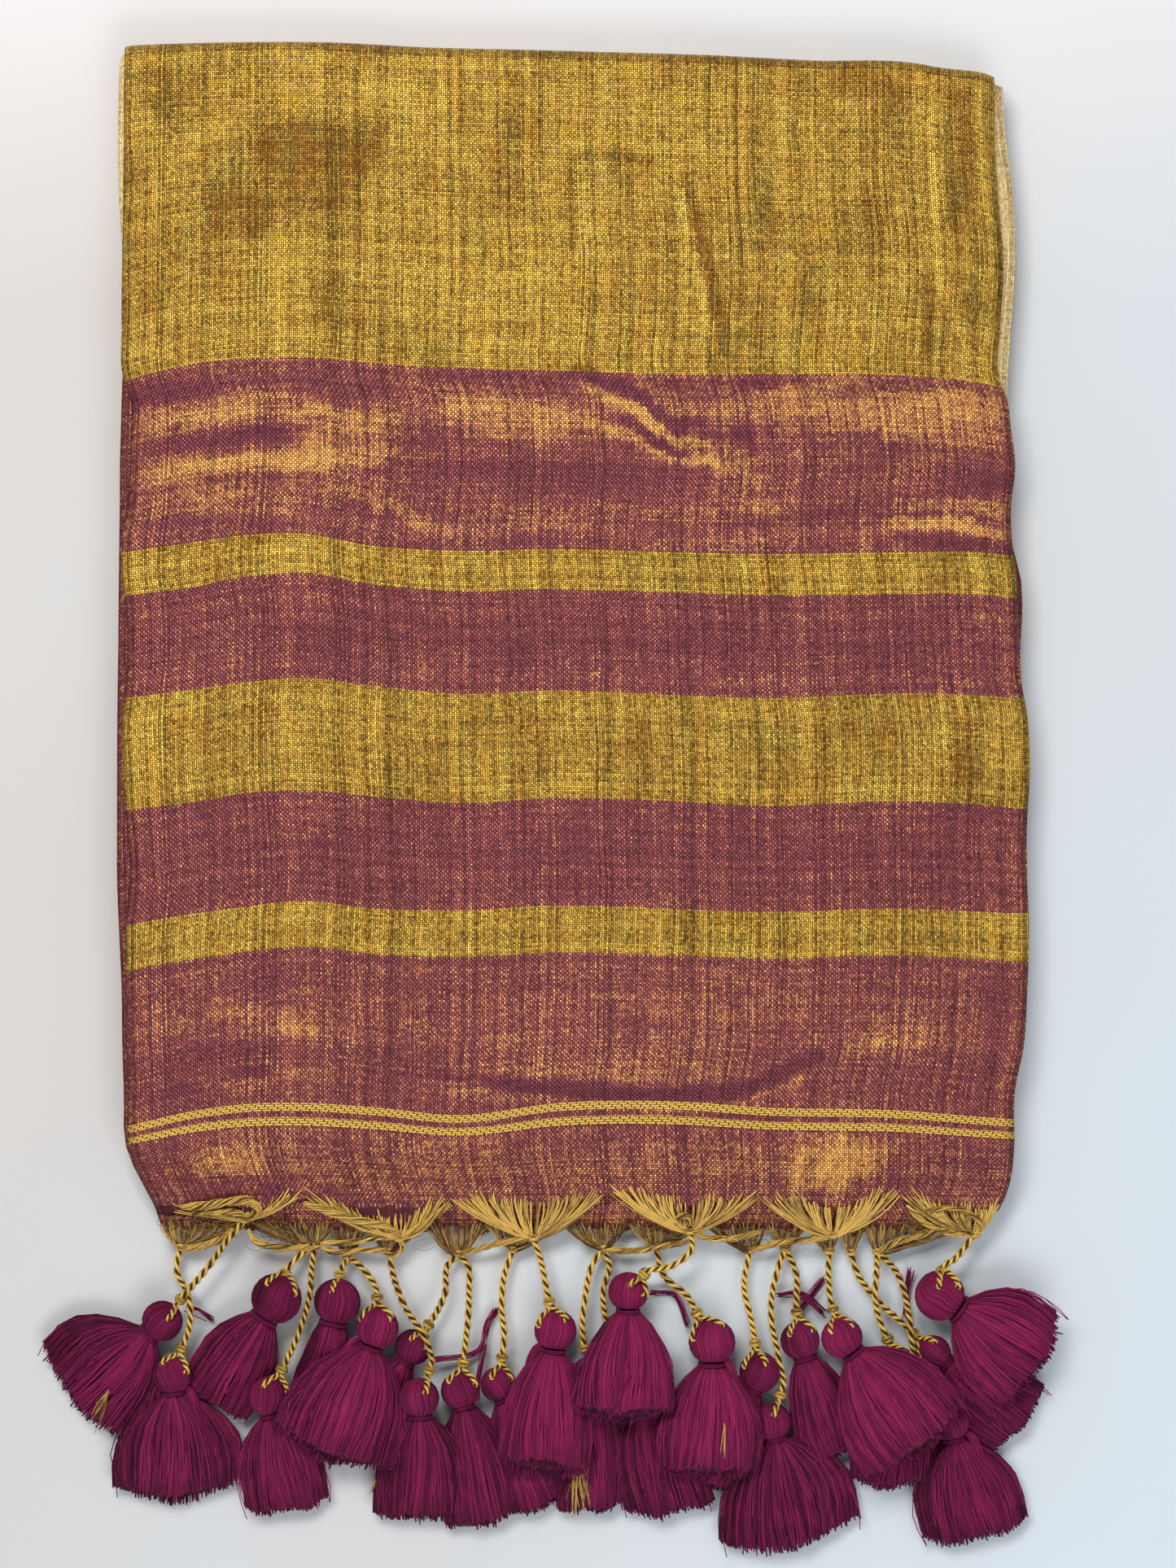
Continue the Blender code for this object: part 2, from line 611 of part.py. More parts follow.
def fringe(name, side, knots, cloth_end, material, collection, cutters):
    """Narrow strip along the cloth's end that gathers in fans onto its knots."""
    top = cloth_end - SEAM_GAP
    left = between(SIDE_EDGES, top, 1) + FRINGE_INSETS[0]
    right = between(SIDE_EDGES, top, 2) - FRINGE_INSETS[1]
    stations = fringe_stations([left] + [knot[0] for knot in knots] + [right])
    columns = len(stations) - 1

    def place(across, along):
        x = stations[round(across * columns)]
        low = top - FRINGE_STRIP
        for knot_x, knot_y in knots:
            share = max(0.0, 1.0 - abs(x - knot_x) / FAN_HALF_WIDTH)
            low = min(low, top - FRINGE_STRIP + (knot_y - top + FRINGE_STRIP) * share**FAN_HOLLOW)
        y = low + along * (top - low)
        return (x, y, fringe_middle(side, y) + FRINGE_WALL / 2.0)

    strip = cloth_sheet(name, columns, FRINGE_ROWS, place, FRINGE_WALL, material, collection)
    balls = bmesh.new()
    around, rings = KNOT_SEGMENTS
    for row in range(len(knots)):
        made = bmesh.ops.create_uvsphere(balls, u_segments=around, v_segments=rings, radius=KNOT_RADIUS * MM)
        bmesh.ops.translate(balls, verts=made["verts"], vec=knot_centre(side, row) * MM)
    cutter = add_object(name + "_knots", mesh_from(name + "_knots", balls), material, cutters)
    cutter.hide_render = True
    cutter.display_type = "WIRE"
    union = strip.modifiers.new("knots", "BOOLEAN")
    union.operation = "UNION"
    union.solver = "EXACT"
    union.object = cutter
    return strip


def build():
    """Whole saree, in a collection named for it."""
    for old in list(bpy.data.objects):
        bpy.data.objects.remove(old, do_unlink=True)
    saree = bpy.data.collections.new("khadi_saree")
    cutters = bpy.data.collections.new("cutters")
    bpy.context.scene.collection.children.link(saree)
    bpy.context.scene.collection.children.link(cutters)

    gold_cloth = new_material("gold_cloth", GOLD_CLOTH)
    wine_cloth = new_material("wine_cloth", WINE_CLOTH)
    pale_cloth = new_material("pale_selvedge", PALE_CLOTH)

    folded_stack(wine_cloth, saree)
    pale_place = flat_sheet_place(PALE_EDGES, 1, PALE_NEAR_END, PALE_TOP, PALE_SETBACK)
    cloth_sheet("selvedge_layer", *PALE_GRID, pale_place, PALE_WALL, pale_cloth, saree)
    under_place = flat_sheet_place(SIDE_EDGES, 3, UNDER_NEAR_END, UNDER_TOP, UNDER_SETBACK)
    cloth_sheet("under_pallu", *UNDER_GRID, under_place, CLOTH_WALL, wine_cloth.copy(), saree)
    cloth_sheet("pallu_face", FACE_COLUMNS, FACE_ROWS, face_place, CLOTH_WALL, gold_cloth, saree)

    thread = new_material("gold_thread_back", GOLD_THREAD)
    fringe("fringe_back", "back", BACK_KNOTS, UNDER_NEAR_END, thread, saree, cutters)
    thread = new_material("gold_thread_front", GOLD_THREAD)
    fringe("fringe_front", "front", FRONT_KNOTS, FACE_NEAR_END, thread, saree, cutters)
    for index in range(len(TASSELS)):
        cotton = new_material(f"wine_cotton_{index + 1:02d}", WINE_COTTON)
        tassel(index, cotton, saree, cutters)


build()
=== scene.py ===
"""Khadi saree folded into a flat packet, its tasselled pallu end on top, dressed for its photograph.

X runs across the packet, Y from the fringe to the far fold and Z up from the surface that it lies on.
Lengths in the tables are millimetres and become metres where a mesh or a light is made.
"""

import math

import bpy
import numpy as np
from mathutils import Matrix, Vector


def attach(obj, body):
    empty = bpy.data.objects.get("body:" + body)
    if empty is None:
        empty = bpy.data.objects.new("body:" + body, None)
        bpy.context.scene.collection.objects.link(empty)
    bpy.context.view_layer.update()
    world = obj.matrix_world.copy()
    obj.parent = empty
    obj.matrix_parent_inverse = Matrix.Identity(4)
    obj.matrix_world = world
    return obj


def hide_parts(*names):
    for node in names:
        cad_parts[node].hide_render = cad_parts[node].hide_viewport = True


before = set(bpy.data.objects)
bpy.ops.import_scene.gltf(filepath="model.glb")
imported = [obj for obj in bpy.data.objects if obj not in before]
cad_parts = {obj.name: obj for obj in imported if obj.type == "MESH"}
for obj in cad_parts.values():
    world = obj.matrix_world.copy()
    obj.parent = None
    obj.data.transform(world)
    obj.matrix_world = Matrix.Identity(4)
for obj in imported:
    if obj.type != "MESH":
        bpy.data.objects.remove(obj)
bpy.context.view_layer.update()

MM = 0.001

# What the picture takes in: its middle, its height at the packet's top, and the lens
VIEW_MIDDLE = (10.5, 4.05)
VIEW_HEIGHT = 503.7
VIEW_PLANE = 14.0
LENS = 85.0
SENSOR = 36.0

# Layers of the packet, each height above the surface
FACE_TOP = 15.2
UNDER_TOP = 13.0
PALE_TOP = 11.5
STACK_TOP = 10.2
FACE_WALL = 0.45
UNDER_WALL = 0.6
PALE_WALL = 0.5
FACE_NEAR_END = -131.5
UNDER_NEAR_END = -138.0
PALE_NEAR_END = -104.0
STACK_NEAR_END = -119.7
DROOP_START = -110.0
DROOP_LENGTH = 40.0
DROOP_DEPTH = 8.5
FACE_DROOP_SHARE = 0.8
LIP_START = -114.0
LIP_LENGTH = 14.0
LIP_DROP = 1.1
ROLL_RADIUS = 5.0
ROLL_FOOT = 1.0
UNDER_SETBACK = 4.6
PALE_SETBACK = 3.0
STACK_SETBACK = 2.2

# Far fold line: x along the fold, y of the fold
FAR_FOLD = (
    (-139, 241.8), (-126, 242.4), (-70, 242.8), (-40, 241.3), (5, 240.2), (44, 239), (83, 237.2),
    (118, 235.8), (121, 235.2), (138, 233), (143, 231.6),
)

# Side edges: y, face left, face right, under layer left, under layer right
SIDE_EDGES = (
    (-139, -127, 139.5, -127.5, 138.5),
    (-131, -129.5, 144.4, -130, 143),
    (-124, -132.7, 146.5, -133.5, 145),
    (-114.5, -136.3, 147.4, -137.6, 146),
    (-94, -137.3, 147.8, -138.8, 146.5),
    (-81, -137.6, 150.4, -139.3, 148.5),
    (-62, -138.2, 151.7, -139.5, 149.8),
    (-42, -138, 152.2, -140.4, 150.3),
    (-26, -136.8, 151.6, -141, 150),
    (-11, -137.6, 151.5, -141, 149.8),
    (9, -139, 152.5, -141, 150.5),
    (26, -139, 151.7, -140.9, 150),
    (36, -138.2, 149.9, -140.8, 149.2),
    (48, -137.6, 149.3, -140.6, 149.6),
    (61, -137.9, 148.6, -140.5, 150.2),
    (71, -139.3, 148.2, -140.4, 149.6),
    (81, -139.3, 146.8, -140.3, 146.9),
    (94, -137.6, 146.5, -140.1, 146),
    (106, -136.8, 147.8, -140.1, 146.2),
    (117, -136.3, 146.5, -139.8, 145.3),
    (128, -136.6, 145, -139.5, 144),
    (134, -138.7, 142.8, -139.3, 141.5),
    (151, -139.3, 143, -138, 141),
    (173, -139.2, 144, -137.5, 141.5),
    (190, -138.9, 142.4, -137.5, 140.5),
    (212, -138.7, 141.3, -137.5, 139),
    (230, -138.6, 141.3, -137.5, 138.5),
    (242, -138.4, 141, -137.5, 138),
)

# Pale selvedge layer and the folded stack under it: y, left, right
PALE_EDGES = (
    (-104, -135.5, 144.5), (-60, -136.5, 147.5), (0, -137, 148.5), (50, -137, 148),
    (100, -137, 144.5), (134, -138, 145.6), (151, -138.5, 146.8), (170, -139, 148.1),
    (194, -140.6, 147.3), (216, -140.8, 144.6), (230, -140.6, 143.8), (242, -139.5, 142.8),
)
STACK_EDGES = (
    (-120, -136.6, 144.5), (-80, -138, 147), (-40, -138.6, 148.6), (10, -138.9, 148.6),
    (60, -138.6, 146.8), (100, -138.4, 145), (130, -138.4, 143.4), (160, -138.6, 145.4),
    (200, -138.8, 145.4), (236, -138.4, 141.4),
)

# Broad folds of the top layer: x, y, half length, half width, direction in degrees from X, height
FOLDS = (
    (-90, 200, 28, 17, 10, -0.7),
    (-62, 163, 60, 15, -14, 0.5),
    (-30, 214, 40, 14, 20, 0.4),
    (58.5, 200, 42, 6, 90, 0.9),
    (45.6, 174, 42, 7, -76, 1),
    (6.4, 190, 22, 6, 88, -0.5),
    (122.7, 195, 47, 6.5, -80, 1.1),
    (137, 196, 38, 5, -84, 0.7),
    (39.6, 114.5, 40, 7.5, -34, 1.2),
    (-100, 120, 45, 6.5, 2, 0.7),
    (-95, 103, 55, 6.5, -3, 0.6),
    (126, 85, 25, 5.5, -4, 0.8),
    (85, 100, 38, 9, -20, 0.5),
    (-25, 40, 60, 12, 80, 0.4),
    (92, 8, 50, 12, 95, 0.4),
    (0, -18, 40, 6, 88, 0.5),
    (118, -20, 50, 9, 84, 0.5),
    (-108, -60, 48, 12, 70, 0.4),
    (17, -92, 70, 6.5, 2, 1.1),
    (94, -118, 26, 12, 62, 0.9),
    (-100, -120, 32, 11, 20, 0.6),
)
FOLD_FLOOR = -0.6
FACE_WAVE = 0.3
FACE_WAVE_LENGTH = (61, 83)

# Sharp creases of the top layer: points along it, half width, rise (down is minus), sideways step
CREASES = (
    (((58.2, 239), (59, 205), (58.2, 168)), 1.5, -0.35, 0.5),
    (((35.9, 213), (45, 176), (55.3, 134)), 1.7, -0.2, 0.55),
    (((5.6, 211), (7.4, 190), (7, 167)), 1.5, -0.4, 0.25),
    (((116.7, 236), (122.7, 196), (132.6, 141)), 2, 0.35, 0.5),
    (((134.4, 233), (139, 196), (142, 158)), 1.6, 0.25, 0.35),
    (((7.2, 137), (28.9, 121.8), (43.3, 112.1), (65, 102.5), (73, 91)), 2.2, -0.45, 0.5),
    (((-127, 121), (-98, 119.4), (-66, 122)), 2.4, 0.4, 0.2),
    (((-124, 104.5), (-92, 103), (-52, 105.5)), 2.2, 0.35, 0.2),
    (((-132, 89.5), (-104, 90), (-78, 87)), 2, 0.3, 0.2),
    (((106, 85.4), (126, 84.6), (146, 81)), 2, 0.4, 0.25),
    (((-51, -89.6), (-22, -92.2), (9.5, -96), (27, -97), (57.6, -96), (77, -88),
      (90, -81)), 2.6, -0.75, 0.45),
    (((-108, -90), (-98, -89.4), (-90, -90.2)), 1.8, -0.5, 0.15),
    (((-3, 31), (-1, 4), (0.6, -30), (-0.4, -56)), 1.1, -0.3, 0.2),
    (((43, 37), (46.5, 4), (46, -50)), 1.1, -0.22, 0.22),
    (((65, 28), (69, -6), (70.5, -46)), 1, -0.2, 0.18),
    (((88, 36), (90, 2), (88, -40)), 1.2, -0.2, 0.24),
    (((108, 60), (106, 8), (104, -52)), 1.2, -0.22, 0.2),
    (((-86, 82), (-84, 50), (-88, 10)), 1.2, 0.18, 0.2),
    (((-58, 38), (-60, 6), (-57, -30)), 1.3, 0.2, 0.15),
    (((-34, 82), (-31, 40), (-35, -8)), 1.2, -0.16, 0.2),
    (((20, 80), (22, 46), (19, 12)), 1, -0.18, 0.16),
    (((98, -96), (92, -112), (80, -131)), 1.6, 0.5, 0.4),
    (((-70, 232), (-64, 205), (-66, 182)), 1.8, 0.2, 0.25),
    (((-20, 238), (-26, 214), (-22, 192)), 1.4, -0.15, 0.2),
    (((88, 232), (92, 204), (98, 178)), 1.6, -0.2, 0.3),
    (((104, 170), (112, 152), (118, 136)), 1.8, -0.2, 0.3),
    (((-128, 176), (-112, 168), (-92, 166)), 2, -0.2, 0.2),
    (((-40, 160), (-18, 152), (6, 154)), 2.2, 0.2, 0.2),
)

# Soft bright patches (plus) and dull ones (minus) where the metal threads catch the light or turn
# away from it: x, y, half length, half width, direction in degrees from X, strength
GLINTS = (
    (-20, 165, 60, 26, -10, 0.2),
    (92, 192, 26, 46, 0, -0.08),
    (30, 160, 30, 20, 0, -0.12),
    (-110, 52, 26, 8, 0, 0.15),
    (134, 14, 9, 18, 0, -0.4),
    (-125, -100, 10, 22, 0, -0.2),
    (20, -118, 34, 12, 0, -0.15),
    (60, -66, 50, 9, 0, 0.12),
)

# One dot of the picture in millimetres, and the dot over the middle of the packet
DOT = 0.2614
DOT_MIDDLE = (682.5, 979)

# Streaks of sheen (plus) and shade (minus) along the cloth's ripples, placed in dots of the picture counted
# from its top left corner: points, half width, strength
SHEEN = (
    # Gold field
    (((158, 74), (420, 62), (680, 74), (1000, 85), (1225, 109)), 9, -0.3),
    (((160, 90), (200, 110), (188, 150)), 28, -0.7),
    (((165, 170), (162, 240)), 14, -0.3),
    (((300, 184), (370, 166), (430, 170), (478, 196)), 20, -0.95),
    (((320, 196), (400, 184), (466, 208)), 22, -0.75),
    (((252, 225), (292, 250), (330, 290)), 32, -0.7),
    (((310, 225), (390, 240), (450, 236)), 40, -0.75),
    (((228, 205), (243, 168), (288, 147)), 9, 0.4),
    (((430, 98), (480, 108), (535, 142)), 22, 0.4),
    (((500, 130), (560, 190), (600, 230)), 18, 0.25),
    (((185, 395), (240, 385), (310, 405)), 30, 0.25),
    (((165, 260), (185, 340), (200, 430)), 40, -0.42),
    (((394, 322), (398, 395)), 15, -0.3),
    (((560, 240), (620, 250), (672, 272)), 22, -0.25),
    (((445, 394), (447, 440)), 5, -0.6),
    (((470, 386), (472, 440)), 4, -0.5),
    (((498, 394), (497, 443)), 5, -0.55),
    (((540, 420), (542, 452)), 4, -0.5),
    (((680, 172), (780, 176), (900, 182)), 7, 0.45),
    (((690, 190), (745, 193), (760, 196), (812, 203)), 6, -0.55),
    (((700, 186), (703, 240), (706, 310)), 8, -0.6),
    (((748, 192), (757, 226)), 5, -0.5),
    (((728, 252), (736, 367)), 12, 0.3),
    (((832, 200), (857, 272), (868, 326), (886, 397), (897, 458)), 8, -1.3),
    (((822, 186), (843, 272), (857, 343), (884, 430), (892, 458)), 4, 0.9),
    (((930, 220), (945, 262), (950, 312)), 18, -0.5),
    (((985, 150), (1010, 250)), 24, 0.35),
    (((1030, 90), (1080, 108), (1126, 140)), 18, -0.4),
    (((1127, 79), (1150, 129), (1157, 183), (1150, 236), (1143, 290), (1154, 343), (1179, 408),
      (1197, 458)), 5, 0.85),
    (((1176, 92), (1187, 180), (1178, 292)), 17, -0.85),
    (((1121, 180), (1124, 302)), 11, -0.5),
    (((1000, 250), (1060, 262), (1105, 240)), 12, -0.3),
    (((1134, 326), (1142, 440)), 6, -0.5),
    (((1172, 330), (1200, 430)), 8, -0.3),
    (((988, 336), (1011, 443)), 9, -0.4),
    (((1057, 321), (1080, 451)), 9, 0.35),
    (((1218, 110), (1223, 200), (1222, 300)), 6, 0.4),
    # Wine stretch under the gold field, left half
    (((140, 492), (205, 484), (272, 490)), 20, -0.6),
    (((345, 472), (400, 478), (482, 482)), 19, -0.6),
    (((530, 462), (600, 466), (700, 462)), 9, -0.5),
    (((160, 531), (220, 523), (290, 512), (334, 505)), 7, 1),
    (((335, 507), (400, 501), (452, 512)), 8, 0.5),
    (((350, 530), (430, 524), (500, 532)), 24, 0.75),
    (((160, 554), (220, 546), (290, 540), (385, 533)), 8, -0.85),
    (((160, 584), (220, 577), (273, 571), (343, 562), (432, 556)), 11, 1.15),
    (((165, 602), (230, 596), (330, 588)), 9, 0.85),
    (((165, 610), (270, 604), (380, 596)), 24, 0.3),
    (((340, 556), (420, 550), (500, 556)), 24, 0.5),
    (((325, 588), (390, 575), (450, 592)), 20, 0.5),
    (((165, 617), (290, 607), (334, 604)), 5, 0.6),
    (((150, 650), (205, 646), (262, 642)), 13, -0.55),
    (((300, 642), (380, 636), (424, 646)), 10, -0.2),
    (((448, 584), (560, 580), (700, 588), (884, 594)), 24, -0.55),
    (((446, 610), (483, 626), (518, 637), (547, 642)), 8, 1),
    (((460, 640), (500, 655)), 9, -0.3),
    (((546, 637), (620, 640), (700, 640)), 4, 0.4),
    (((530, 510), (600, 504), (704, 508)), 17, 0.85),
    (((560, 536), (640, 532), (704, 530)), 15, 0.6),
    (((560, 662), (700, 668)), 8, -0.35),
    # The same stretch, right half
    (((688, 456), (735, 462), (763, 474), (791, 488), (809, 502), (823, 512), (847, 521),
      (872, 525)), 6, -2.4),
    (((712, 474), (753, 485), (781, 500), (802, 517), (819, 531), (840, 542), (861, 549),
      (884, 552)), 6, 2.2),
    (((740, 502), (770, 514), (795, 531), (816, 545), (833, 556), (857, 564)), 4.5, -1.6),
    (((700, 516), (735, 520), (770, 533), (798, 547), (823, 560), (847, 567), (882, 565), (910, 573),
      (931, 588), (948, 604)), 7, 1.4),
    (((906, 547), (930, 571)), 6, 0.5),
    (((889, 460), (894, 546)), 5, 0.7),
    (((780, 472), (872, 478)), 10, 0.25),
    (((905, 474), (1002, 470)), 8, -0.4),
    (((915, 502), (1000, 498), (1100, 502), (1200, 508), (1242, 522)), 29, 0.85),
    (((1100, 484), (1170, 488), (1232, 520)), 17, 0.4),
    (((1000, 520), (1100, 524), (1200, 544)), 10, 0.3),
    (((903, 519), (933, 562)), 12, -0.8),
    (((925, 562), (981, 552), (1016, 541), (1051, 540), (1086, 547), (1123, 562)), 8, -0.6),
    (((1150, 580), (1200, 590), (1246, 595)), 19, -0.6),
    (((960, 600), (1050, 598), (1122, 600)), 19, -0.3),
    (((886, 609), (945, 623), (960, 640), (956, 658)), 9, 0.6),
    (((700, 626), (890, 627)), 4, 0.3),
    (((1084, 622), (1145, 617), (1191, 620), (1239, 633)), 4.5, 0.75),
    (((1077, 633), (1145, 631), (1191, 636), (1242, 650)), 3.5, -1),
    (((1075, 646), (1121, 640), (1163, 642), (1202, 651), (1244, 667)), 8, 1.05),
    (((1066, 669), (1130, 664), (1197, 673)), 7, -0.7),
    (((970, 665), (1062, 673)), 10, -0.35),
    (((750, 640), (862, 656)), 10, -0.35),
    # Middle bands and the wine between them
    (((100, 785), (680, 778), (1300, 795)), 46, -0.3),
    (((100, 1052), (680, 1045), (1300, 1060)), 50, -0.28),
    (((150, 922), (680, 914), (1260, 930)), 52, -0.2),
    (((818, 811), (880, 832), (947, 851)), 2.5, 0.5),
    (((818, 817), (880, 838), (940, 856)), 3, -0.35),
    (((661, 857), (669, 971)), 5, -0.6),
    (((793, 864), (792, 979)), 4, -0.5),
    (((855, 864), (858, 987)), 5, -0.55),
    (((925, 864), (945, 990)), 6, -0.5),
    (((461, 849), (464, 979)), 6, 0.35),
    (((369, 849), (361, 964)), 8, 0.35),
    (((1065, 864), (1069, 987)), 6, 0.3),
    (((1180, 866), (1188, 980)), 12, -0.4),
    (((1222, 872), (1241, 971)), 8, 0.5),
    (((268, 674), (266, 718)), 5, -0.5),
    (((330, 664), (332, 706)), 8, 0.3),
    (((556, 676), (560, 722)), 5, -0.4),
    (((1100, 676), (1120, 728)), 6, 0.4),
    (((880, 1120), (886, 1170)), 5, -0.4),
    (((1046, 1118), (1052, 1172)), 5, -0.4),
    # Last wine stretch, down to the fringe
    (((160, 1250), (700, 1235), (1240, 1245)), 55, 0.14),
    (((250, 1236), (330, 1252), (398, 1260)), 15, 0.5),
    (((180, 1262), (232, 1262)), 11, 0.3),
    (((190, 1284), (300, 1280), (430, 1290)), 8, -0.2),
    (((235, 1326), (350, 1318), (455, 1322)), 14, 0.3),
    (((286, 1322), (337, 1316)), 5, -1),
    (((198, 1347), (247, 1341)), 4, -0.8),
    (((588, 1328), (620, 1333), (650, 1337), (700, 1335), (770, 1344), (843, 1349), (886, 1346),
      (921, 1336), (957, 1322), (990, 1305), (1024, 1299)), 6, -2.3),
    (((600, 1351), (700, 1350), (800, 1362), (880, 1362)), 5, 0.4),
    (((160, 1436), (700, 1436), (1240, 1432)), 38, 0.4),
    (((600, 1316), (700, 1320), (800, 1330), (880, 1329)), 7, 0.25),
    (((1034, 1292), (1100, 1276), (1168, 1268)), 15, 0.42),
    (((1064, 1396), (1042, 1425), (1002, 1470)), 20, 1.85),
    (((1096, 1396), (1080, 1430), (1058, 1452)), 9, 0.5),
    (((1010, 1402), (985, 1425), (970, 1462)), 8, 0.95),
    (((1110, 1420), (1090, 1460)), 10, -0.35),
    (((1195, 1351), (1192, 1468)), 8, -0.45),
    (((1218, 1180), (1214, 1332)), 9, -0.4),
    (((1223, 1325), (1245, 1331)), 7, 0.5),
    (((236, 1424), (290, 1430), (334, 1442)), 17, 0.65),
    (((225, 1466), (302, 1459)), 15, -0.4),
    (((320, 1456), (345, 1478)), 11, -0.45),
    (((376, 1456), (425, 1478), (468, 1488)), 14, -0.4),
    (((480, 1408), (540, 1405), (602, 1402)), 6, 0.25),
    (((850, 1390), (884, 1392)), 5, 0.35),
    (((160, 1440), (185, 1480)), 12, -0.3),
)

# Weft lines of the pallu: distance along the cloth from its woven end, then how far up the packet the
# line lies at each station across it
STATIONS = (-139, -118, -100, -82, -58, -32, 2, 38, 67, 111, 135, 148)
WEFT_LINES = (
    (29.4, (-107.5, -102.5, -100, -99.5, -101, -103.5, -99.5, -99, -101, -102, -104, -105)),
    (80, (-56.5, -52.5, -50, -48, -50.5, -51.5, -50, -51, -52, -51, -52, -53)),
    (95, (-41.5, -38, -35.5, -33.5, -36, -36.5, -35, -36, -37, -36, -37, -37.5)),
    (129.5, (-4.5, -2, 1, 2, 0, -2, -0.5, -1.5, -3, -1.5, -2.5, -4)),
    (165, (31.5, 34, 36.5, 38, 35.5, 33, 34, 32.5, 31.5, 33, 32.5, 31.5)),
    (198.5, (64.5, 67, 70.5, 72, 68, 66, 66.5, 65.5, 64.5, 65, 65, 63.5)),
    (211.5, (78.5, 81.5, 84, 84.5, 80.5, 79, 79.5, 78.5, 78, 78.5, 78.5, 77.5)),
    (268, (133, 138.5, 140.5, 141, 139, 137.5, 136.5, 135.5, 135.5, 135, 133, 130)),
)
FAR_FOLD_WOVEN = 371.0

# The hidden edge that prints through the gold field, painted as a thin line of shade along its crease: place
# across the cloth, half width, and how far along it starts
CREASE_SHADE_ACROSS = 201.6
CREASE_SHADE_HALF_WIDTH = 0.32
CREASE_SHADE_START = 302.0

# Where gold weft is woven: from and to, along the cloth from its woven end
GOLD_BANDS = ((80, 95), (129.5, 165), (198.5, 211.5), (268, 460))
GOLD_LINES = (29.4, 25)
GOLD_LINE_HALF_WIDTH = 1.2
THREAD_PITCH = 0.7

# Fringe: knots of the front and back rows, and the peaks where one front fan parts from the next
FRONT_KNOTS = (
    (-100.2, -136.4), (-50.6, -142.6), (-7.2, -142.4), (43.3, -140.4), (89.5, -141.6),
    (135.2, -141.4),
)
BACK_KNOTS = (
    (-121.4, -145.9), (-78, -145.4), (-67.2, -149), (-54, -147.4), (-31.5, -148), (-13.6, -146.6),
    (15.6, -146.4), (32.5, -145.8), (62.9, -146.9), (74.4, -146.2), (88.6, -147.2), (95.6, -147.6),
    (104.2, -147.4),
)
FRONT_PEAKS = (-124, -81.2, -33.6, 16.3, 66, 111.2, 143)
TOP_RISE = {"front": 1.8, "back": 0.8}
FAN_STATIONS = 11
FAN_THREAD = {"front": 0.25, "back": 0.18}
BUNDLE_SPREAD = 0.6
THREAD_SPACING = {"front": 0.6, "back": 0.72}
FRONT_TONES = (0.1, 2.1)
BACK_TONES = (-0.3, 0.9)

# Where the top layer's weave ends at the fringe: x, y
FACE_END = (
    (-140, -134), (-124.8, -135.2), (-112, -135.4), (-100.5, -136.2), (-92, -133.8),
    (-81.2, -130.4), (-70, -134.2), (-60, -136.8), (-52.9, -138.4), (-44, -135.8), (-33.6, -131.6),
    (-24, -131), (-7.2, -132.6), (8, -131), (16.3, -129.6), (28, -129), (43.3, -133), (52, -131.4),
    (66, -131.6), (80, -131), (89.5, -132.6), (100, -131), (111.2, -130.4), (122, -133.2),
    (135, -134.4), (146, -134),
)
KNOT_RADIUS = 1.9

# Tassels: head x, y, z and radius, skirt direction in degrees from straight down the page (plus is
# towards +X), skirt length from the head's middle, skirt width at its cut end, height of the skirt's
# middle at its belly and at its tips, how much shorter it is cut on top, and the loops of cord over the
# head in degrees off its top
TASSELS = (
    (-127, -169.5, 6.9, 6.3, -47, 40, 42, 5.2, 4.4, 0.05, (-12,)),
    (-124, -187, 6.5, 6, 5, 41.5, 40, 4.8, 4.4, 0.07, (-62, 60)),
    (-90, -162, 8.4, 7.8, -33, 41, 25, 5.5, 4.4, 0.03, (-58, 48)),
    (-92.4, -193.8, 6.8, 6.4, 8, 38.5, 27, 5, 4.4, 0.04, (-74, 40)),
    (-70.5, -163, 8, 7.2, -11, 45, 17, 5, 4.4, 0.05, (18,)),
    (-57.5, -171.5, 8, 6.6, -20, 45.5, 38, 12.4, 12.2, 0.08, (-62, 68)),
    (-46, -178, 6.2, 5.6, -31, 39, 19, 4.6, 4.4, 0.04, (-50, 30)),
    (-43.8, -193.4, 12.2, 6.2, 3, 41, 29, 6, 4.4, 0.05, (-16,)),
    (-31, -192, 6.4, 5.8, 13, 44.5, 25, 4.8, 4.4, 0.04, (-78, 58)),
    (-18.5, -190, 6.2, 5.5, 22, 43, 21, 4.8, 4.4, 0.05, (-60, 34)),
    (0, -172.5, 7.2, 6.5, -7, 46.5, 28, 11.8, 12.2, 0.11, (-56, 66)),
    (10.5, -187, 6.2, 5.5, 5, 44.5, 21, 4.8, 4.4, 0.04, (-14,)),
    (23.5, -160, 7, 6.2, -1, 40.5, 29, 13.8, 17.2, 0.1, (-64, 20)),
    (28.5, -189, 6.2, 5.7, 8, 44.5, 27, 4.8, 4.4, 0.04, (-40, 58)),
    (50.5, -176, 7.8, 7.2, 0, 43.5, 32, 12.2, 12.2, 0.08, (-70, 62)),
    (66, -186, 6.8, 6.3, -27, 41, 22, 4.8, 4.4, 0.05, (-30, 64)),
    (70, -202, 6.4, 5.9, 13, 42.5, 44, 5, 4.4, 0.04, (8,)),
    (79, -175.8, 6.8, 6.1, 17, 40, 21, 4.8, 4.4, 0.04, (-66, 42)),
    (92.3, -174.5, 9.2, 6.4, 37, 44, 37, 16.2, 17.2, 0.07, (-58, 36)),
    (122, -180, 6.2, 5.6, 50, 38, 26, 4.8, 4.4, 0.04, (-48, 60)),
    (110.5, -183, 5.9, 5.2, 1, 41, 27, 4.8, 4.4, 0.04, (-60, 52)),
    (127.5, -202.4, 6.4, 5.8, 12, 40, 34, 5, 4.4, 0.05, (-10,)),
    (124, -161, 8.4, 7.8, 55, 40, 36, 12.4, 12.2, 0.06, (-60, 12)),
)

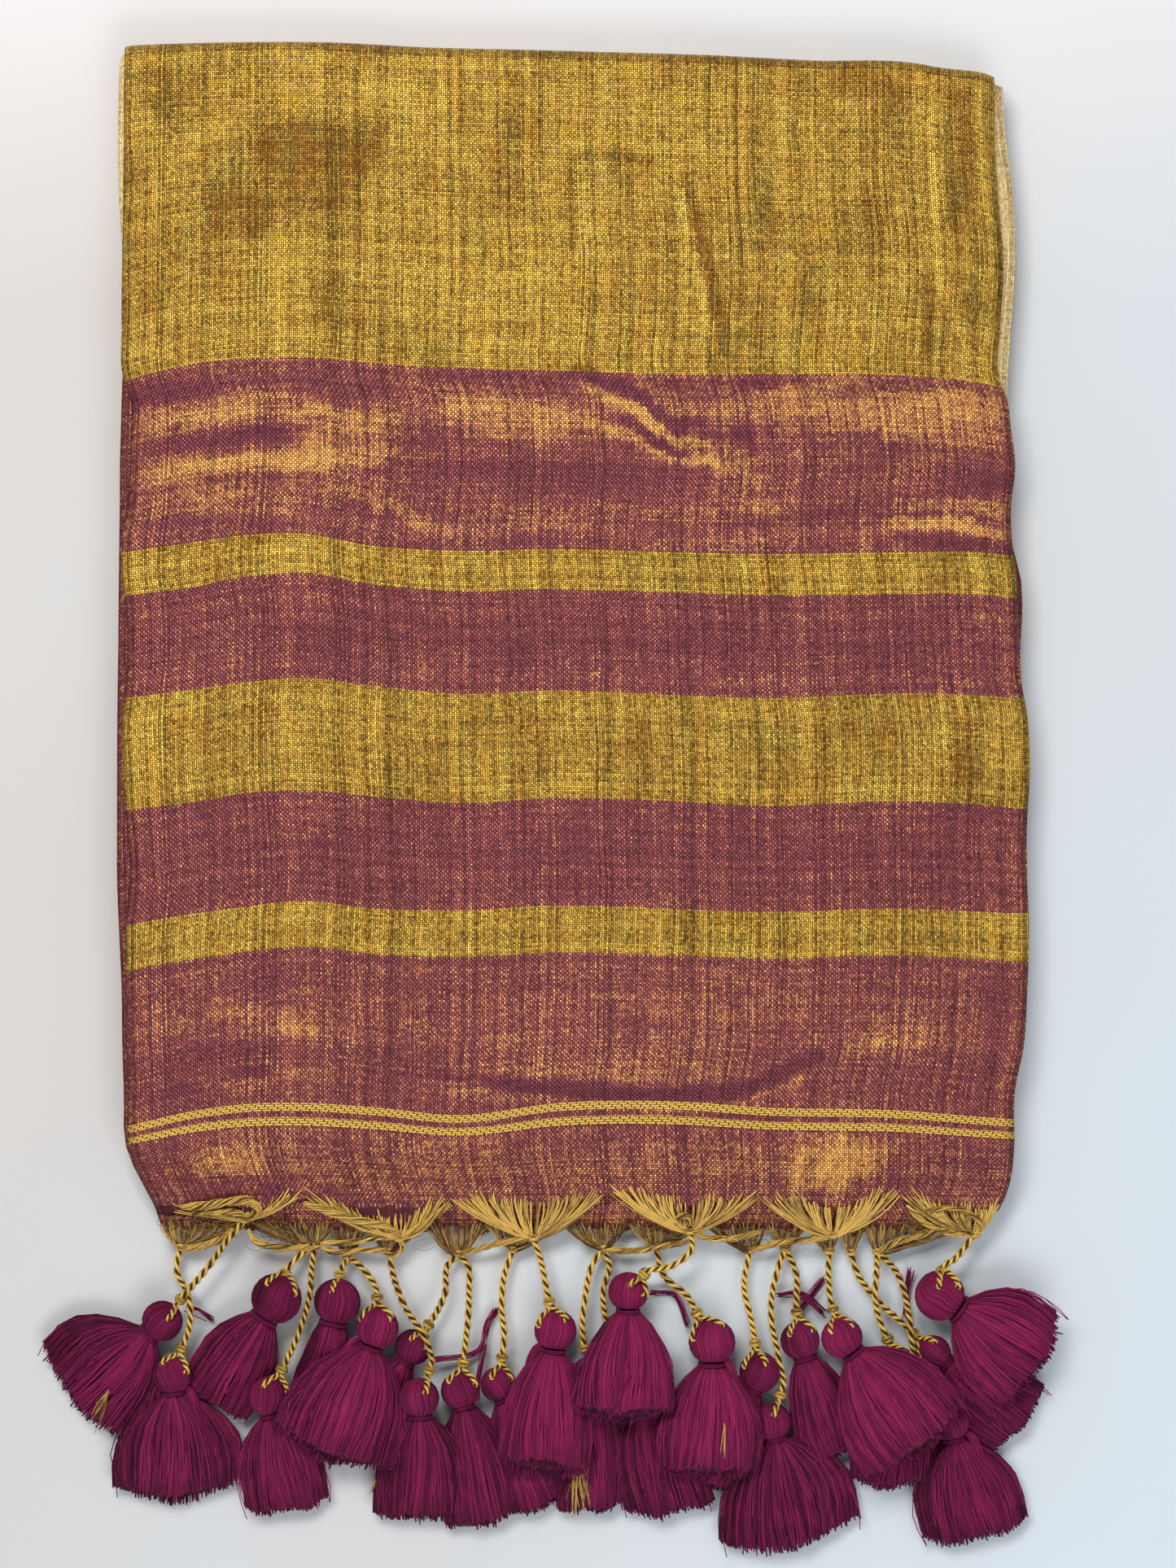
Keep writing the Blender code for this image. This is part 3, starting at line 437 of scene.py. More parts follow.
# Cords: the knot that each tassel hangs from (row of front or back knots), then the points it passes
CORDS = (
    ("front", 0, ((-106, -143.5, 9.5), (-113, -153, 9), (-119.5, -160.5, 9))),
    ("back", 0, ((-122.6, -153, 5), (-118.6, -162, 6.5), (-118.4, -172, 7))),
    ("back", 1, ((-83.5, -149, 6), (-87, -153.5, 7.5))),
    ("back", 1, ((-78.8, -151.5, 5), (-79.6, -162, 7), (-84, -176, 8))),
    ("back", 2, ((-69.6, -154, 6.5),)),
    ("back", 2, ((-62, -153.2, 6), (-57.6, -160.5, 7.5))),
    ("back", 4, ((-35, -152, 5), (-35.6, -160, 6), (-40.5, -170, 6.5))),
    ("back", 3, ((-52, -156, 8), (-48, -165, 12), (-41.5, -174.5, 14.6), (-40, -183, 12.5))),
    ("back", 4, ((-28.4, -152, 4.6), (-28, -160, 5), (-29.2, -178, 7))),
    ("back", 5, ((-16.6, -155, 5), (-17.4, -165, 5.5), (-16.6, -176, 6.5))),
    ("front", 2, ((-4.8, -149.5, 8), (-3, -158.4, 8))),
    ("back", 6, ((12.4, -150.6, 5), (9.6, -162, 6), (8.8, -174, 6.5))),
    ("front", 3, ((44, -145.5, 10.4), (38, -151, 10.4), (29, -153.5, 10.4))),
    ("back", 6, ((17.4, -151.4, 5), (15.4, -160, 5), (17.6, -173, 5))),
    ("back", 7, ((35, -155, 5), (43, -162, 7))),
    ("back", 8, ((61, -158.4, 5), (63.4, -170, 6.5))),
    ("back", 9, ((71.6, -154, 5), (69.6, -166, 6.5), (72, -180.8, 7), (73.4, -191, 7))),
    ("back", 9, ((78, -155, 5), (77.8, -165, 6.5))),
    ("back", 10, ((88.4, -156.6, 5), (89.4, -165, 7))),
    ("back", 11, ((98, -155, 4.4), (103.5, -162.5, 4.2), (114, -172, 6))),
    ("back", 12, ((103.6, -155, 7.5), (103.2, -163, 8.6), (105, -170, 7.8))),
    ("back", 12, ((110, -153.5, 7), (113.8, -166, 10), (115.3, -179, 11.2), (120, -190.5, 9))),
    ("front", 5, ((129, -149, 9), (124.5, -152.5, 9.5))),
)

# Loose bundles of warp ends that lie along the fringe: points, radius, whether on the front row
BUNDLES = (
    (((-121.4, -145.9, 5.4), (-116, -145.6, 6.2), (-109, -143.4, 7.4), (-104, -139.4, 9.6)), 1, False),
    (((-120.4, -132.4, 12.4), (-112, -131.4, 13.4), (-104, -130.2, 13.8), (-97.6, -130.4, 13.6),
      (-95.6, -133, 12.6), (-98.4, -135.8, 11)), 1.3, True),
    (((-117, -134.4, 12), (-109, -133.6, 12.6), (-102, -134, 12.2), (-99, -136, 11)), 1, True),
    (((-99, -139.6, 8.6), (-97, -143.4, 7), (-91, -145.6, 6.4), (-83, -146, 6),
      (-76, -145.6, 5.8)), 1, False),
    (((-76, -145.6, 5.8), (-70, -147.6, 5.6), (-62, -146.6, 6), (-54, -146.6, 5.8)), 0.9, False),
    (((-76, -144.4, 6.4), (-66, -144, 6.8), (-56, -142.4, 7.8), (-50.6, -142.4, 8.8)), 0.8, False),
    (((-81, -130.6, 12.8), (-70, -134.6, 12.2), (-60, -137.4, 11.2), (-54, -138.8, 10.6),
      (-50, -141.6, 9.4)), 1.1, True),
    (((-34, -131, 12.6), (-40, -136, 11.6), (-46, -140, 10.2), (-50.6, -142.2, 9.2)), 0.8, True),
    (((-50.2, -142.8, 8), (-49.4, -146.2, 6.4), (-51.8, -148.4, 5.8), (-55.6, -147.6, 5.8)), 0.7, False),
    (((-31.5, -148, 5.2), (-24, -146, 6), (-14, -143.4, 7.6), (-8, -142.8, 8.4)), 0.9, False),
    (((15.6, -146.4, 5.6), (24, -147, 5.6), (34, -145.6, 6), (43, -143.6, 7.4)), 0.9, False),
    (((43.3, -140.4, 9.6), (50, -142.6, 8.8), (58, -142.6, 8.8), (66, -140.4, 9.6)), 0.9, True),
    (((38.6, -136, 12.4), (41.6, -134.6, 12.9), (43.6, -136.2, 12.2), (42.4, -138.6, 11.2)), 0.8, True),
    (((62.9, -146.9, 5.4), (70, -144.8, 6.6), (80, -143.2, 7.6), (89, -142.2, 8.6)), 0.9, False),
    (((104.2, -147.4, 5.4), (110, -144, 6.8), (118, -141.4, 8), (124, -139, 9.4)), 1, False),
    (((113, -131.6, 12.6), (120, -138, 10.8), (128, -141, 9.4), (135.2, -141.4, 9.2)), 0.9, True),
    (((119, -133.4, 12), (128, -132.6, 12.4), (134.6, -135, 11.6), (137.6, -139.4, 10),
      (135.2, -141.4, 9.2)), 0.7, True),
)
BUNDLE_THREADS = 26

# Fine curled ends: left, right, low and high ends of their patch, height, number
WISPS = (
    (-126, -103, -141, -135, 9.4, 34),
    (-97, -84, -146, -138, 7.4, 22),
    (112, 126, -141, -136, 9, 18),
    (116, 136, -140, -134, 10.2, 26),
    (-60, -40, -145, -139, 7.6, 14),
    (8, 40, -144, -139, 8.2, 24),
    (60, 100, -144, -139, 8.2, 20),
)

# Tassels whose side threads spring out in a loop at the neck: tassel, side
SHOULDER_LOOPS = {1: 1, 5: -1, 10: -1, 14: 1, 16: -1, 21: 1}

# Thin tie threads left loose among the tassels: tassel they belong to, points
TIE_THREADS = (
    (8, ((-39.9, -182, 6), (-24, -178.4, 3), (-21.4, -170, 2.4), (-19, -166, 2))),
    (9, ((-25.2, -195.2, 8), (-24.4, -186, 5), (-22.6, -178, 3))),
    (0, ((-119, -165, 6), (-115.6, -166.6, 2.6), (-111.6, -169.6, 1.6))),
    (17, ((72, -161.6, 2.2), (78.4, -161, 2.4), (87, -167.4, 3))),
    (18, ((78.4, -167.4, 3), (82, -163, 2.2), (87, -156.2, 2.2))),
    (14, ((30.6, -161.2, 2), (37.6, -161.2, 2), (42.6, -171.4, 3))),
    (20, ((114.8, -153.4, 3), (114, -160, 2.4), (113.4, -168.6, 3.4))),
)

# Loose gold ends among the tassels: from, to, height, number, how far they flare
GOLD_STRAYS = (
    ((-144, -191.5), (-149, -200.5), 9.4, 8, 1.7),
    ((-30.5, -226), (-26.5, -231.5), 5, 5, 1.2),
    ((-58.2, -221), (-60, -224.5), 6, 4, 0.8),
    ((6.5, -210), (8, -229), 8.6, 22, 2.3),
    ((54.4, -201.5), (54, -212), 15.6, 8, 0.5),
    ((123.6, -197.5), (125.6, -200.5), 11.6, 5, 0.7),
    ((146, -224), (150, -229), 4, 4, 1),
)


def curve_through(places, values, x):
    """Smooth curve through stations in rising order, read at x."""
    places = np.asarray(places, float)
    values = np.asarray(values, float)
    slopes = np.gradient(values, places)
    low = np.clip(np.searchsorted(places, x) - 1, 0, len(places) - 2)
    span = places[low + 1] - places[low]
    share = np.clip((x - places[low]) / span, 0.0, 1.0)
    square = share**2
    cube = square * share
    total = values[low] * (2.0 * cube - 3.0 * square + 1.0) + values[low + 1] * (3.0 * square - 2.0 * cube)
    return total + span * (slopes[low] * (cube - 2.0 * square + share) + slopes[low + 1] * (cube - square))


def edge_at(rows, column, place):
    """One column of a table of edges, read at a place along them."""
    table = np.array(rows)
    return curve_through(table[:, 0], table[:, column], place)


def across_row(row, column, across):
    """Places between the left and right edges in one row of a table; across runs from 0 to 1."""
    return row[column] + across * (row[column + 1] - row[column])


def across_edges(edges, column, y, across):
    """Places between the left and right edges of a layer at y; across runs from 0 to 1."""
    left = edge_at(edges, column, y)
    return left + across * (edge_at(edges, column + 1, y) - left)


def ease(share):
    """Eased step from 0 to 1."""
    share = np.clip(share, 0.0, 1.0)
    return share * share * (3.0 - 2.0 * share)


def droop(y):
    """How far the near flap hangs below the packet's top."""
    share = np.clip((DROOP_START - y) / DROOP_LENGTH, 0.0, 1.0)
    return DROOP_DEPTH * (1.0 - np.cos(math.pi * share)) / 2.0


def lip(y):
    """How far the top layer's near edge settles onto the layer under it."""
    return LIP_DROP * ease((LIP_START - y) / LIP_LENGTH)


def soft_spots(rows, x, y):
    """Sum of soft long spots: x, y, half length, half width, direction, strength."""
    total = np.zeros_like(x)
    for spot_x, spot_y, half_length, half_width, direction, strength in rows:
        turn = math.radians(direction)
        along = (x - spot_x) * math.cos(turn) + (y - spot_y) * math.sin(turn)
        across = (y - spot_y) * math.cos(turn) - (x - spot_x) * math.sin(turn)
        fade = np.maximum(0.0, 1.0 - (along / half_length) ** 2) ** 2
        total += strength * fade * np.exp(-((across / half_width) ** 2))
    return total


# How many swells a pattern has each way before it repeats
PATTERN_SWELLS = 64


def uneven(x, y, seed):
    """Smooth uneven surface from -1 to 1, one swell to each unit of x and y."""
    table = np.random.default_rng(seed).uniform(-1.0, 1.0, (PATTERN_SWELLS, PATTERN_SWELLS))
    low_x, low_y = np.floor(x).astype(int), np.floor(y).astype(int)
    share_x, share_y = ease(x - low_x), ease(y - low_y)

    def line(swell_y):
        left = table[low_x % PATTERN_SWELLS, swell_y % PATTERN_SWELLS]
        right = table[(low_x + 1) % PATTERN_SWELLS, swell_y % PATTERN_SWELLS]
        return left * (1.0 - share_x) + right * share_x

    return line(low_y) * (1.0 - share_y) + line(low_y + 1) * share_y


def swells(rows, x, y):
    """Sum of uneven patterns: size across, size along, height, seed."""
    return sum(height * uneven(x / across, y / along, seed) for across, along, height, seed in rows)


# How steeply the step beside a crease leans, and the power that fades a crease out at its ends
CREASE_LEAN = 1.4
CREASE_FADE = 4


def crease_height(points, half_width, rise, step, x, y):
    """Narrow crease along its points: a ridge or trough, with one side lying higher than the other."""
    points = np.array(points)
    steps = np.diff(points, axis=0)
    lengths = np.hypot(steps[:, 0], steps[:, 1])
    passed = np.concatenate(([0.0], np.cumsum(lengths)))
    nearest = np.full(x.shape, np.inf)
    side = np.zeros_like(x)
    along = np.zeros_like(x)
    for index, (start, move) in enumerate(zip(points, steps)):
        share = ((x - start[0]) * move[0] + (y - start[1]) * move[1]) / lengths[index] ** 2
        share = np.clip(share, 0.0, 1.0)
        off_x = x - start[0] - share * move[0]
        off_y = y - start[1] - share * move[1]
        distance = np.hypot(off_x, off_y)
        closer = distance < nearest
        nearest = np.where(closer, distance, nearest)
        side = np.where(closer, np.sign(move[0] * off_y - move[1] * off_x), side)
        along = np.where(closer, (passed[index] + share * lengths[index]) / passed[-1], along)
    fade = 1.0 - (2.0 * along - 1.0) ** CREASE_FADE
    across = nearest / half_width
    return fade * np.exp(-(across**2)) * (rise + step * side * across * CREASE_LEAN)


def between_lines(woven, low, high, soft):
    """1 between two distances along the cloth, fading out over the soft width at each end."""
    return ease((woven - low) / soft) * ease((high - woven) / soft)


# The wine stretch between the third gold band and the gold field, and the last stretch before the
# fringe, along the cloth from its woven end
WINE_STRETCH = (GOLD_BANDS[2][1], GOLD_BANDS[3][0])
LAST_STRETCH = (0.0, 62.0)

# Ripples and swells of the top layer: size across, size along, height, seed of their pattern
WINE_RIPPLES = ((52.0, 8.0, 0.5, 3), (26.0, 4.2, 0.16, 4))
FIELD_SWELLS = ((21.0, 34.0, 0.34, 6), (7.0, 24.0, 0.1, 7))
PUCKERS = ((3.6, 34.0, 1.0, 8),)
LAST_RIPPLE_HEIGHT = 0.28
PUCKER_HEIGHT = 0.05
BAND_PUCKER_HEIGHT = 0.13
BAND_PUCKER_REACH = 4.0


def face_relief(x, y, woven):
    """Rise and fall of the top layer: broad folds, sharp creases, ripples and fine puckers."""
    wave_x, wave_y = FACE_WAVE_LENGTH
    wave = FACE_WAVE * np.sin(x / wave_x * math.tau) * np.sin(y / wave_y * math.tau)
    height = wave + np.maximum(soft_spots(FOLDS, x, y), FOLD_FLOOR)
    for points, half_width, rise, step in CREASES:
        height += crease_height(points, half_width, rise, step, x, y)
    aslant = y + 5.0 * np.sin(x / 44.0 + 0.4) - 0.1 * x
    height += between_lines(woven, *WINE_STRETCH, 6.0) * swells(WINE_RIPPLES, x, aslant)
    last = between_lines(woven, *LAST_STRETCH, 14.0)
    height += last * LAST_RIPPLE_HEIGHT * uneven(x / 34.0 + 7.0, y / 11.0, 5)
    height += between_lines(woven, WINE_STRETCH[1], FAR_FOLD_WOVEN, 10.0) * swells(FIELD_SWELLS, x, y)
    pucker = np.full_like(x, PUCKER_HEIGHT)
    for low, high in GOLD_BANDS[:3]:
        near_band = between_lines(woven, low - BAND_PUCKER_REACH, high + BAND_PUCKER_REACH, BAND_PUCKER_REACH)
        pucker = pucker + BAND_PUCKER_HEIGHT * near_band
    return height + pucker * swells(PUCKERS, x, y)


def woven_place(x, y):
    """Distance along the cloth from its woven end, so that bands follow the cloth's waves."""
    lines = [(0.0, np.full_like(x, FACE_NEAR_END))]
    lines += [(woven, curve_through(STATIONS, heights, x)) for woven, heights in WEFT_LINES]
    lines.append((FAR_FOLD_WOVEN, edge_at(FAR_FOLD, 1, x)))
    total = np.zeros_like(x)
    for (low_woven, low), (high_woven, high) in zip(lines, lines[1:]):
        total += np.clip((y - low) / (high - low), 0.0, 1.0) * (high_woven - low_woven)
    return total


def grid_faces(columns, rows):
    """Four-cornered faces of a grid whose points run across first, facing up."""
    low = (np.arange(rows)[:, None] * (columns + 1) + np.arange(columns)[None, :]).ravel()
    return np.stack([low, low + 1, low + columns + 2, low + columns + 1], axis=1)


def closed_rings(rings, start, end):
    """Points and faces of a closed body through rings of points, with a start and an end point."""
    levels, rim = rings.shape[:2]
    index = np.arange(levels * rim).reshape(levels, rim)
    following = np.roll(index, -1, axis=1)
    points = np.concatenate([rings.reshape(-1, 3), [start], [end]])
    quads = np.stack([index[:-1], following[:-1], following[1:], index[1:]], axis=-1).reshape(-1, 4)
    first_cap = np.stack([following[0], index[0], np.full(rim, levels * rim)], axis=1)
    last_cap = np.stack([index[-1], following[-1], np.full(rim, levels * rim + 1)], axis=1)
    return points, quads, np.concatenate([first_cap, last_cap])


def mesh_of(name, points, quads, tris):
    """Mesh datablock from arrays of points in millimetres, with four- and three-cornered faces."""
    mesh = bpy.data.meshes.new(name)
    mesh.vertices.add(len(points))
    mesh.vertices.foreach_set("co", (points * MM).astype(np.float32).ravel())
    corners = np.concatenate([quads.ravel(), tris.ravel()]).astype(np.int32)
    starts = np.concatenate([np.arange(len(quads)) * 4, len(quads) * 4 + np.arange(len(tris)) * 3])
    mesh.loops.add(len(corners))
    mesh.loops.foreach_set("vertex_index", corners)
    mesh.polygons.add(len(starts))
    mesh.polygons.foreach_set("loop_start", starts.astype(np.int32))
    mesh.polygons.foreach_set("use_smooth", np.ones(len(starts), bool))
    mesh.update(calc_edges=True)
    return mesh


def add_map(mesh, name, values):
    """UV map from one pair of values for each corner."""
    layer = mesh.uv_layers.new(name=name)
    layer.data.foreach_set("uv", values.astype(np.float32).ravel())


def add_tone(mesh, name, values):
    """Named number for each point."""
    layer = mesh.attributes.new(name, "FLOAT", "POINT")
    layer.data.foreach_set("value", values.astype(np.float32).ravel())


def place_piece(name, mesh, material, nodes):
    """Object of a finished mesh, riding on the one body and standing for its CAD nodes."""
    mesh.materials.append(material)
    piece = bpy.data.objects.new(name, mesh)
    bpy.context.scene.collection.objects.link(piece)
    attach(piece, "root")
    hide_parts(*nodes)
    return piece


def give_wall(piece, wall):
    """Cloth thickness below the sheet, applied."""
    modifier = piece.modifiers.new("wall", "SOLIDIFY")
    modifier.thickness = wall * MM
    modifier.offset = -1.0
    bpy.ops.object.select_all(action="DESELECT")
    bpy.context.view_layer.objects.active = piece
    piece.select_set(True)
    bpy.ops.object.modifier_apply(modifier=modifier.name)
    piece.select_set(False)


def sheet_piece(name, node, shape, woven, glow, material, wall):
    """Cloth sheet from a grid of points, with its weave map and glow."""
    rows, columns = shape.shape[0] - 1, shape.shape[1] - 1
    quads = grid_faces(columns, rows)
    mesh = mesh_of(name, shape.reshape(-1, 3), quads, np.zeros((0, 3), int))
    add_map(mesh, "weave", woven.reshape(-1, 2)[quads.ravel()])
    add_tone(mesh, "glow", glow.ravel())
    piece = place_piece(name, mesh, material, [node])
    give_wall(piece, wall)
    return piece


def rolled_rows(flat_rows, arc_rows, drop_rows):
    """Shares of the flat part, then turns of the roll, then shares of the drop to the surface."""
    flat = [("flat", step / flat_rows) for step in range(flat_rows + 1)]
    arc = [("arc", step / arc_rows) for step in range(1, arc_rows + 1)]
    drop = [("drop", step / drop_rows) for step in range(1, drop_rows + 1)]
    return flat + arc + drop


PACKET_WIDTH = 288.0
FACE_COLUMNS = 174
FACE_ROWS = (218, 7, 5)
ROLL_TUCK = 1.2

# How far the layers sag at their side edges, and over what width
FACE_SAG = 1.7
LEVEL_SAG = 0.7
SAG_WIDTH = 4.0


def edge_sag(x, depth):
    """How far a layer sags towards its side edges."""
    inside = np.minimum(x - x[..., :1], x[..., -1:] - x)
    return depth * np.maximum(0.0, 1.0 - inside / SAG_WIDTH) ** 2


def pallu_face(material):
    """Top stretch of the pallu: creased, sagging at its edges and rolled over the far fold."""
    across = np.linspace(0.0, 1.0, FACE_COLUMNS + 1)
    far_end = edge_at(FAR_FOLD, 1, across_row(SIDE_EDGES[-1], 1, across))
    roll_start = far_end - ROLL_RADIUS
    near = near_end_of_face(across_row(SIDE_EDGES[1], 1, across))
    rows = []
    places = []
    reliefs = []
    for part, share in rolled_rows(*FACE_ROWS):
        y = near + (share if part == "flat" else 1.0) * (roll_start - near)
        x = across_edges(SIDE_EDGES, 1, y, across)
        woven = woven_place(x, y)
        relief = face_relief(x, y, woven)
        z = FACE_TOP + relief - FACE_DROOP_SHARE * droop(y) - lip(y)
        if part == "arc":
            turn = math.pi / 2.0 * share
            y = roll_start + ROLL_RADIUS * math.sin(turn)
            z = z - ROLL_RADIUS * (1.0 - math.cos(turn))
            woven = woven + ROLL_RADIUS * turn
        if part == "drop":
            top = z - ROLL_RADIUS
            z = top + share * (ROLL_FOOT - top)
            y = far_end - ROLL_TUCK * share**2
            woven = woven + ROLL_RADIUS * math.pi / 2.0 + share * (top - ROLL_FOOT)
        else:
            z = z - edge_sag(x, FACE_SAG)
        rows.append(np.stack([x, y, z], axis=1))
        places.append(np.stack([across * PACKET_WIDTH, woven], axis=1))
        reliefs.append(relief)
    shape, places = np.array(rows), np.array(places)
    glow = face_glow(shape, places[..., 1], np.array(reliefs))
    return sheet_piece("face_cloth", "pallu_face", shape, places, glow, material, FACE_WALL)


# Ragged edges of the sheen, made like ripples: size across, size along, height, seed
TEETH = ((1.9, 40.0, 1.5, 12), (6.5, 25.0, 1.4, 13))

# How much painted sheen the glow gains where the cloth tilts along and across, the limits of that, how much
# more painted sheen the wine stretch gets, and how much painted shade darkens the roll over the far fold
GLOW_ALONG = 3.0
GLOW_ACROSS = 1.3
GLOW_LIMITS = (-0.8, 0.9)
WINE_STRETCH_SHEEN = 0.16
ROLL_SHADE = 0.3
LEAST_ROW_STEP = 0.3


def face_glow(shape, woven, relief):
    """How the top layer's metal threads catch the light: streaks of sheen, glints and tilted folds."""
    x, y = shape[..., 0], shape[..., 1]
    tilt_along = -np.gradient(relief, axis=0) / np.maximum(np.gradient(y, axis=0), LEAST_ROW_STEP)
    tilt_across = np.gradient(relief, axis=1) / np.gradient(x, axis=1)
    glow = soft_spots(GLINTS, x, y)
    ragged_y = y
    for tooth in TEETH:
        ragged_y = ragged_y + swells([tooth], x, y)
    for dots, half_width, strength in SHEEN:
        points = [((across - DOT_MIDDLE[0]) * DOT, (DOT_MIDDLE[1] - down) * DOT) for across, down in dots]
        glow += crease_height(points, half_width * DOT, strength, 0.0, x, ragged_y)
    glow += WINE_STRETCH_SHEEN * between_lines(woven, *WINE_STRETCH, 3.0)
    # Painted sheen where the cloth tilts towards the light and painted shade where it tilts away
    glow = glow + np.clip(GLOW_ALONG * tilt_along + GLOW_ACROSS * tilt_across, *GLOW_LIMITS)
    glow[FACE_ROWS[0] + 2 :] -= ROLL_SHADE
    return glow


def near_end_of_face(x):
    """Where the top layer's weave ends and its loose warp ends begin."""
    return edge_at(FACE_END, 1, x) + 0.25 * np.sin(x * 1.1) + 0.15 * np.sin(x * 2.7 + 1.0)


# End of the layer under it: how far it reaches past its line, how far a knot draws it down and over
# what half width
UNDER_REACH = 1.6
KNOT_DRAW = 1.4
KNOT_DRAW_WIDTH = 5.0


def near_end_of_under(x):
    """Ragged end of the layer under it, drawn down a little towards each back knot."""
    knots = np.array([knot[0] for knot in BACK_KNOTS])
    drawn = np.exp(-(((x[..., None] - knots) / KNOT_DRAW_WIDTH) ** 2)).sum(axis=-1)
    end = UNDER_NEAR_END - UNDER_REACH - KNOT_DRAW * np.minimum(drawn, 1.0)
    return end + 0.8 * np.sin(x * 0.31 + 1.0) + 0.5 * np.sin(x * 0.9)


# Painted light that brightens the drooping layer's near end, and the distance over which it comes in
DROOP_GLOW = 0.3
DROOP_GLOW_REACH = 10.0


def level_sheet(name, node, edges, column, near_end, top, setback, steps, wall, material, droops):
    """Layer that lies level under the top one; one that droops also hangs down at the near end, brightened
    there with painted light.
    """
    columns, rows = steps
    across = np.linspace(0.0, 1.0, columns + 1)[None, :]
    along = np.linspace(0.0, 1.0, rows + 1)[:, None]
    rough_x = across_row(edges[-1], column, across)
    far_end = edge_at(FAR_FOLD, 1, rough_x) - setback
    start = near_end_of_under(rough_x) if droops else near_end
    y = start + along * (far_end - start)
    x = across_edges(edges, column, y, across)
    z = np.full_like(x, top) - (droop(y) if droops else 0.0)
    z = z - edge_sag(x, LEVEL_SAG)
    woven = np.stack([np.broadcast_to(across * PACKET_WIDTH, x.shape), y - near_end], axis=2)
    shape = np.stack([x, y, z], axis=2)
    # The drooping layer gets painted light at its near end
    glow = DROOP_GLOW * ease((DROOP_START - y) / DROOP_GLOW_REACH) if droops else np.zeros(x.shape)
    return sheet_piece(name, node, shape, woven, glow, material, wall)


# Folded stack: how many fold edges show, points up each one, steps and corners of its outline
STACK_LIPS = 13
STACK_LIP_POINTS = 4
STACK_STEP = 4.2
STACK_CORNER = 3.0

# Each fold edge: how far in it lies, how far it bulges, the roundness of the bulge, and the shares of
# its height where it starts and how far up it goes
LIP_INSET = 0.9
LIP_BULGE = 1.1
LIP_ROUNDNESS = 0.6
LIP_FOOT = 0.08
LIP_REACH = 0.84

# Rings on top of the stack and under it: how far in from the outline, height
STACK_CLOSING = ((4.0, STACK_TOP), (30.0, STACK_TOP))
STACK_FOOT = (4.0, 0.0)
MIDDLE_TONE = 0.5


def stack_outline():
    """Outline of the folded stack, anticlockwise from its near left corner, in even steps."""
    near = STACK_NEAR_END + STACK_CORNER
    first, last = STACK_EDGES[0], STACK_EDGES[-1]

    def run(start, end):
        return np.linspace(start, end, max(2, int(abs(end - start) / STACK_STEP)))

    def far_end(x):
        return edge_at(FAR_FOLD, 1, x) - STACK_SETBACK

    near_x = run(first[1] + STACK_CORNER, first[2] - STACK_CORNER)
    right_y = run(near, far_end(last[2]) - STACK_CORNER)
    far_x = run(last[2] - STACK_CORNER, last[1] + STACK_CORNER)
    left_y = run(far_end(last[1]) - STACK_CORNER, near)
    sides = (
        (near_x, np.full_like(near_x, STACK_NEAR_END)),
        (edge_at(STACK_EDGES, 2, right_y), right_y),
        (far_x, far_end(far_x)),
        (edge_at(STACK_EDGES, 1, left_y), left_y),
    )
    return np.concatenate([np.stack(side, axis=1) for side in sides])


def folded_layers(material):
    """Hidden folded layers: one closed body whose sides show the rounded edge of every fold."""
    outline = stack_outline()
    count = len(outline)
    along = np.roll(outline, -1, axis=0) - np.roll(outline, 1, axis=0)
    along /= np.linalg.norm(along, axis=1)[:, None]
    inward = np.stack([-along[:, 1], along[:, 0]], axis=1)
    random = np.random.default_rng(11)
    travel = np.arange(count) / count * math.tau

    def ring(inset, height):
        return np.column_stack([outline + inward * inset, np.full(count, height)])

    rings = [ring(*STACK_FOOT)]
    tones = [MIDDLE_TONE]
    lip_height = STACK_TOP / STACK_LIPS
    for fold in range(STACK_LIPS):
        wander = LIP_INSET + 0.5 * np.sin(travel * random.integers(2, 5) + random.uniform(0.0, math.tau))
        wander += 0.35 * np.sin(travel * random.integers(7, 13) + random.uniform(0.0, math.tau))
        tone = random.uniform(0.0, 1.0)
        for step in range(STACK_LIP_POINTS):
            share = step / (STACK_LIP_POINTS - 1)
            bulge = math.sin(math.pi * share) ** LIP_ROUNDNESS
            inset = wander + LIP_BULGE * (1.0 - bulge)
            rings.append(ring(inset[:, None], lip_height * (fold + LIP_FOOT + LIP_REACH * share)))
            tones.append(tone)
    for inset, height in STACK_CLOSING:
        rings.append(ring(inset, height))
        tones.append(MIDDLE_TONE)
    middle = outline.mean(axis=0)
    points, quads, tris = closed_rings(np.array(rings), [*middle, 0.0], [*middle, STACK_TOP])
    mesh = mesh_of("fold_edges", points, quads, tris)
    add_tone(mesh, "glow", np.append(np.repeat(tones, count), [MIDDLE_TONE, MIDDLE_TONE]))
    return place_piece("fold_edges", mesh, material, ["folded_layers"])


UP = np.array([0.0, 0.0, 1.0])

# A path is taken as upright where its sideways direction gets shorter than this
UPRIGHT_LIMIT = 0.08
TINY = 1e-9


def frames_along(paths):
    """Directions along, sideways and upwards at each point of many paths."""
    along = np.gradient(paths, axis=-2)
    along /= np.linalg.norm(along, axis=-1, keepdims=True) + TINY
    sideways = np.cross(along, UP)
    size = np.linalg.norm(sideways, axis=-1, keepdims=True)
    sideways = np.where(size < UPRIGHT_LIMIT, np.array([1.0, 0.0, 0.0]), sideways / (size + TINY))
    upward = np.cross(sideways, along)
    return along, sideways, upward


def walked(points):
    """Distance passed at each point of a path."""
    return np.concatenate(([0.0], np.cumsum(np.linalg.norm(np.diff(points, axis=0), axis=1))))


# How much painted shade darkens a ply where it presses on the other, and where it is neither darker nor
# lighter
PLY_SHADE = 2.6
PLY_SHADE_MIDDLE = 0.8

# Turn of a strand of three or four sides that brings a side to the top
FLAT_TOP = {3: 0.25, 4: 0.5}


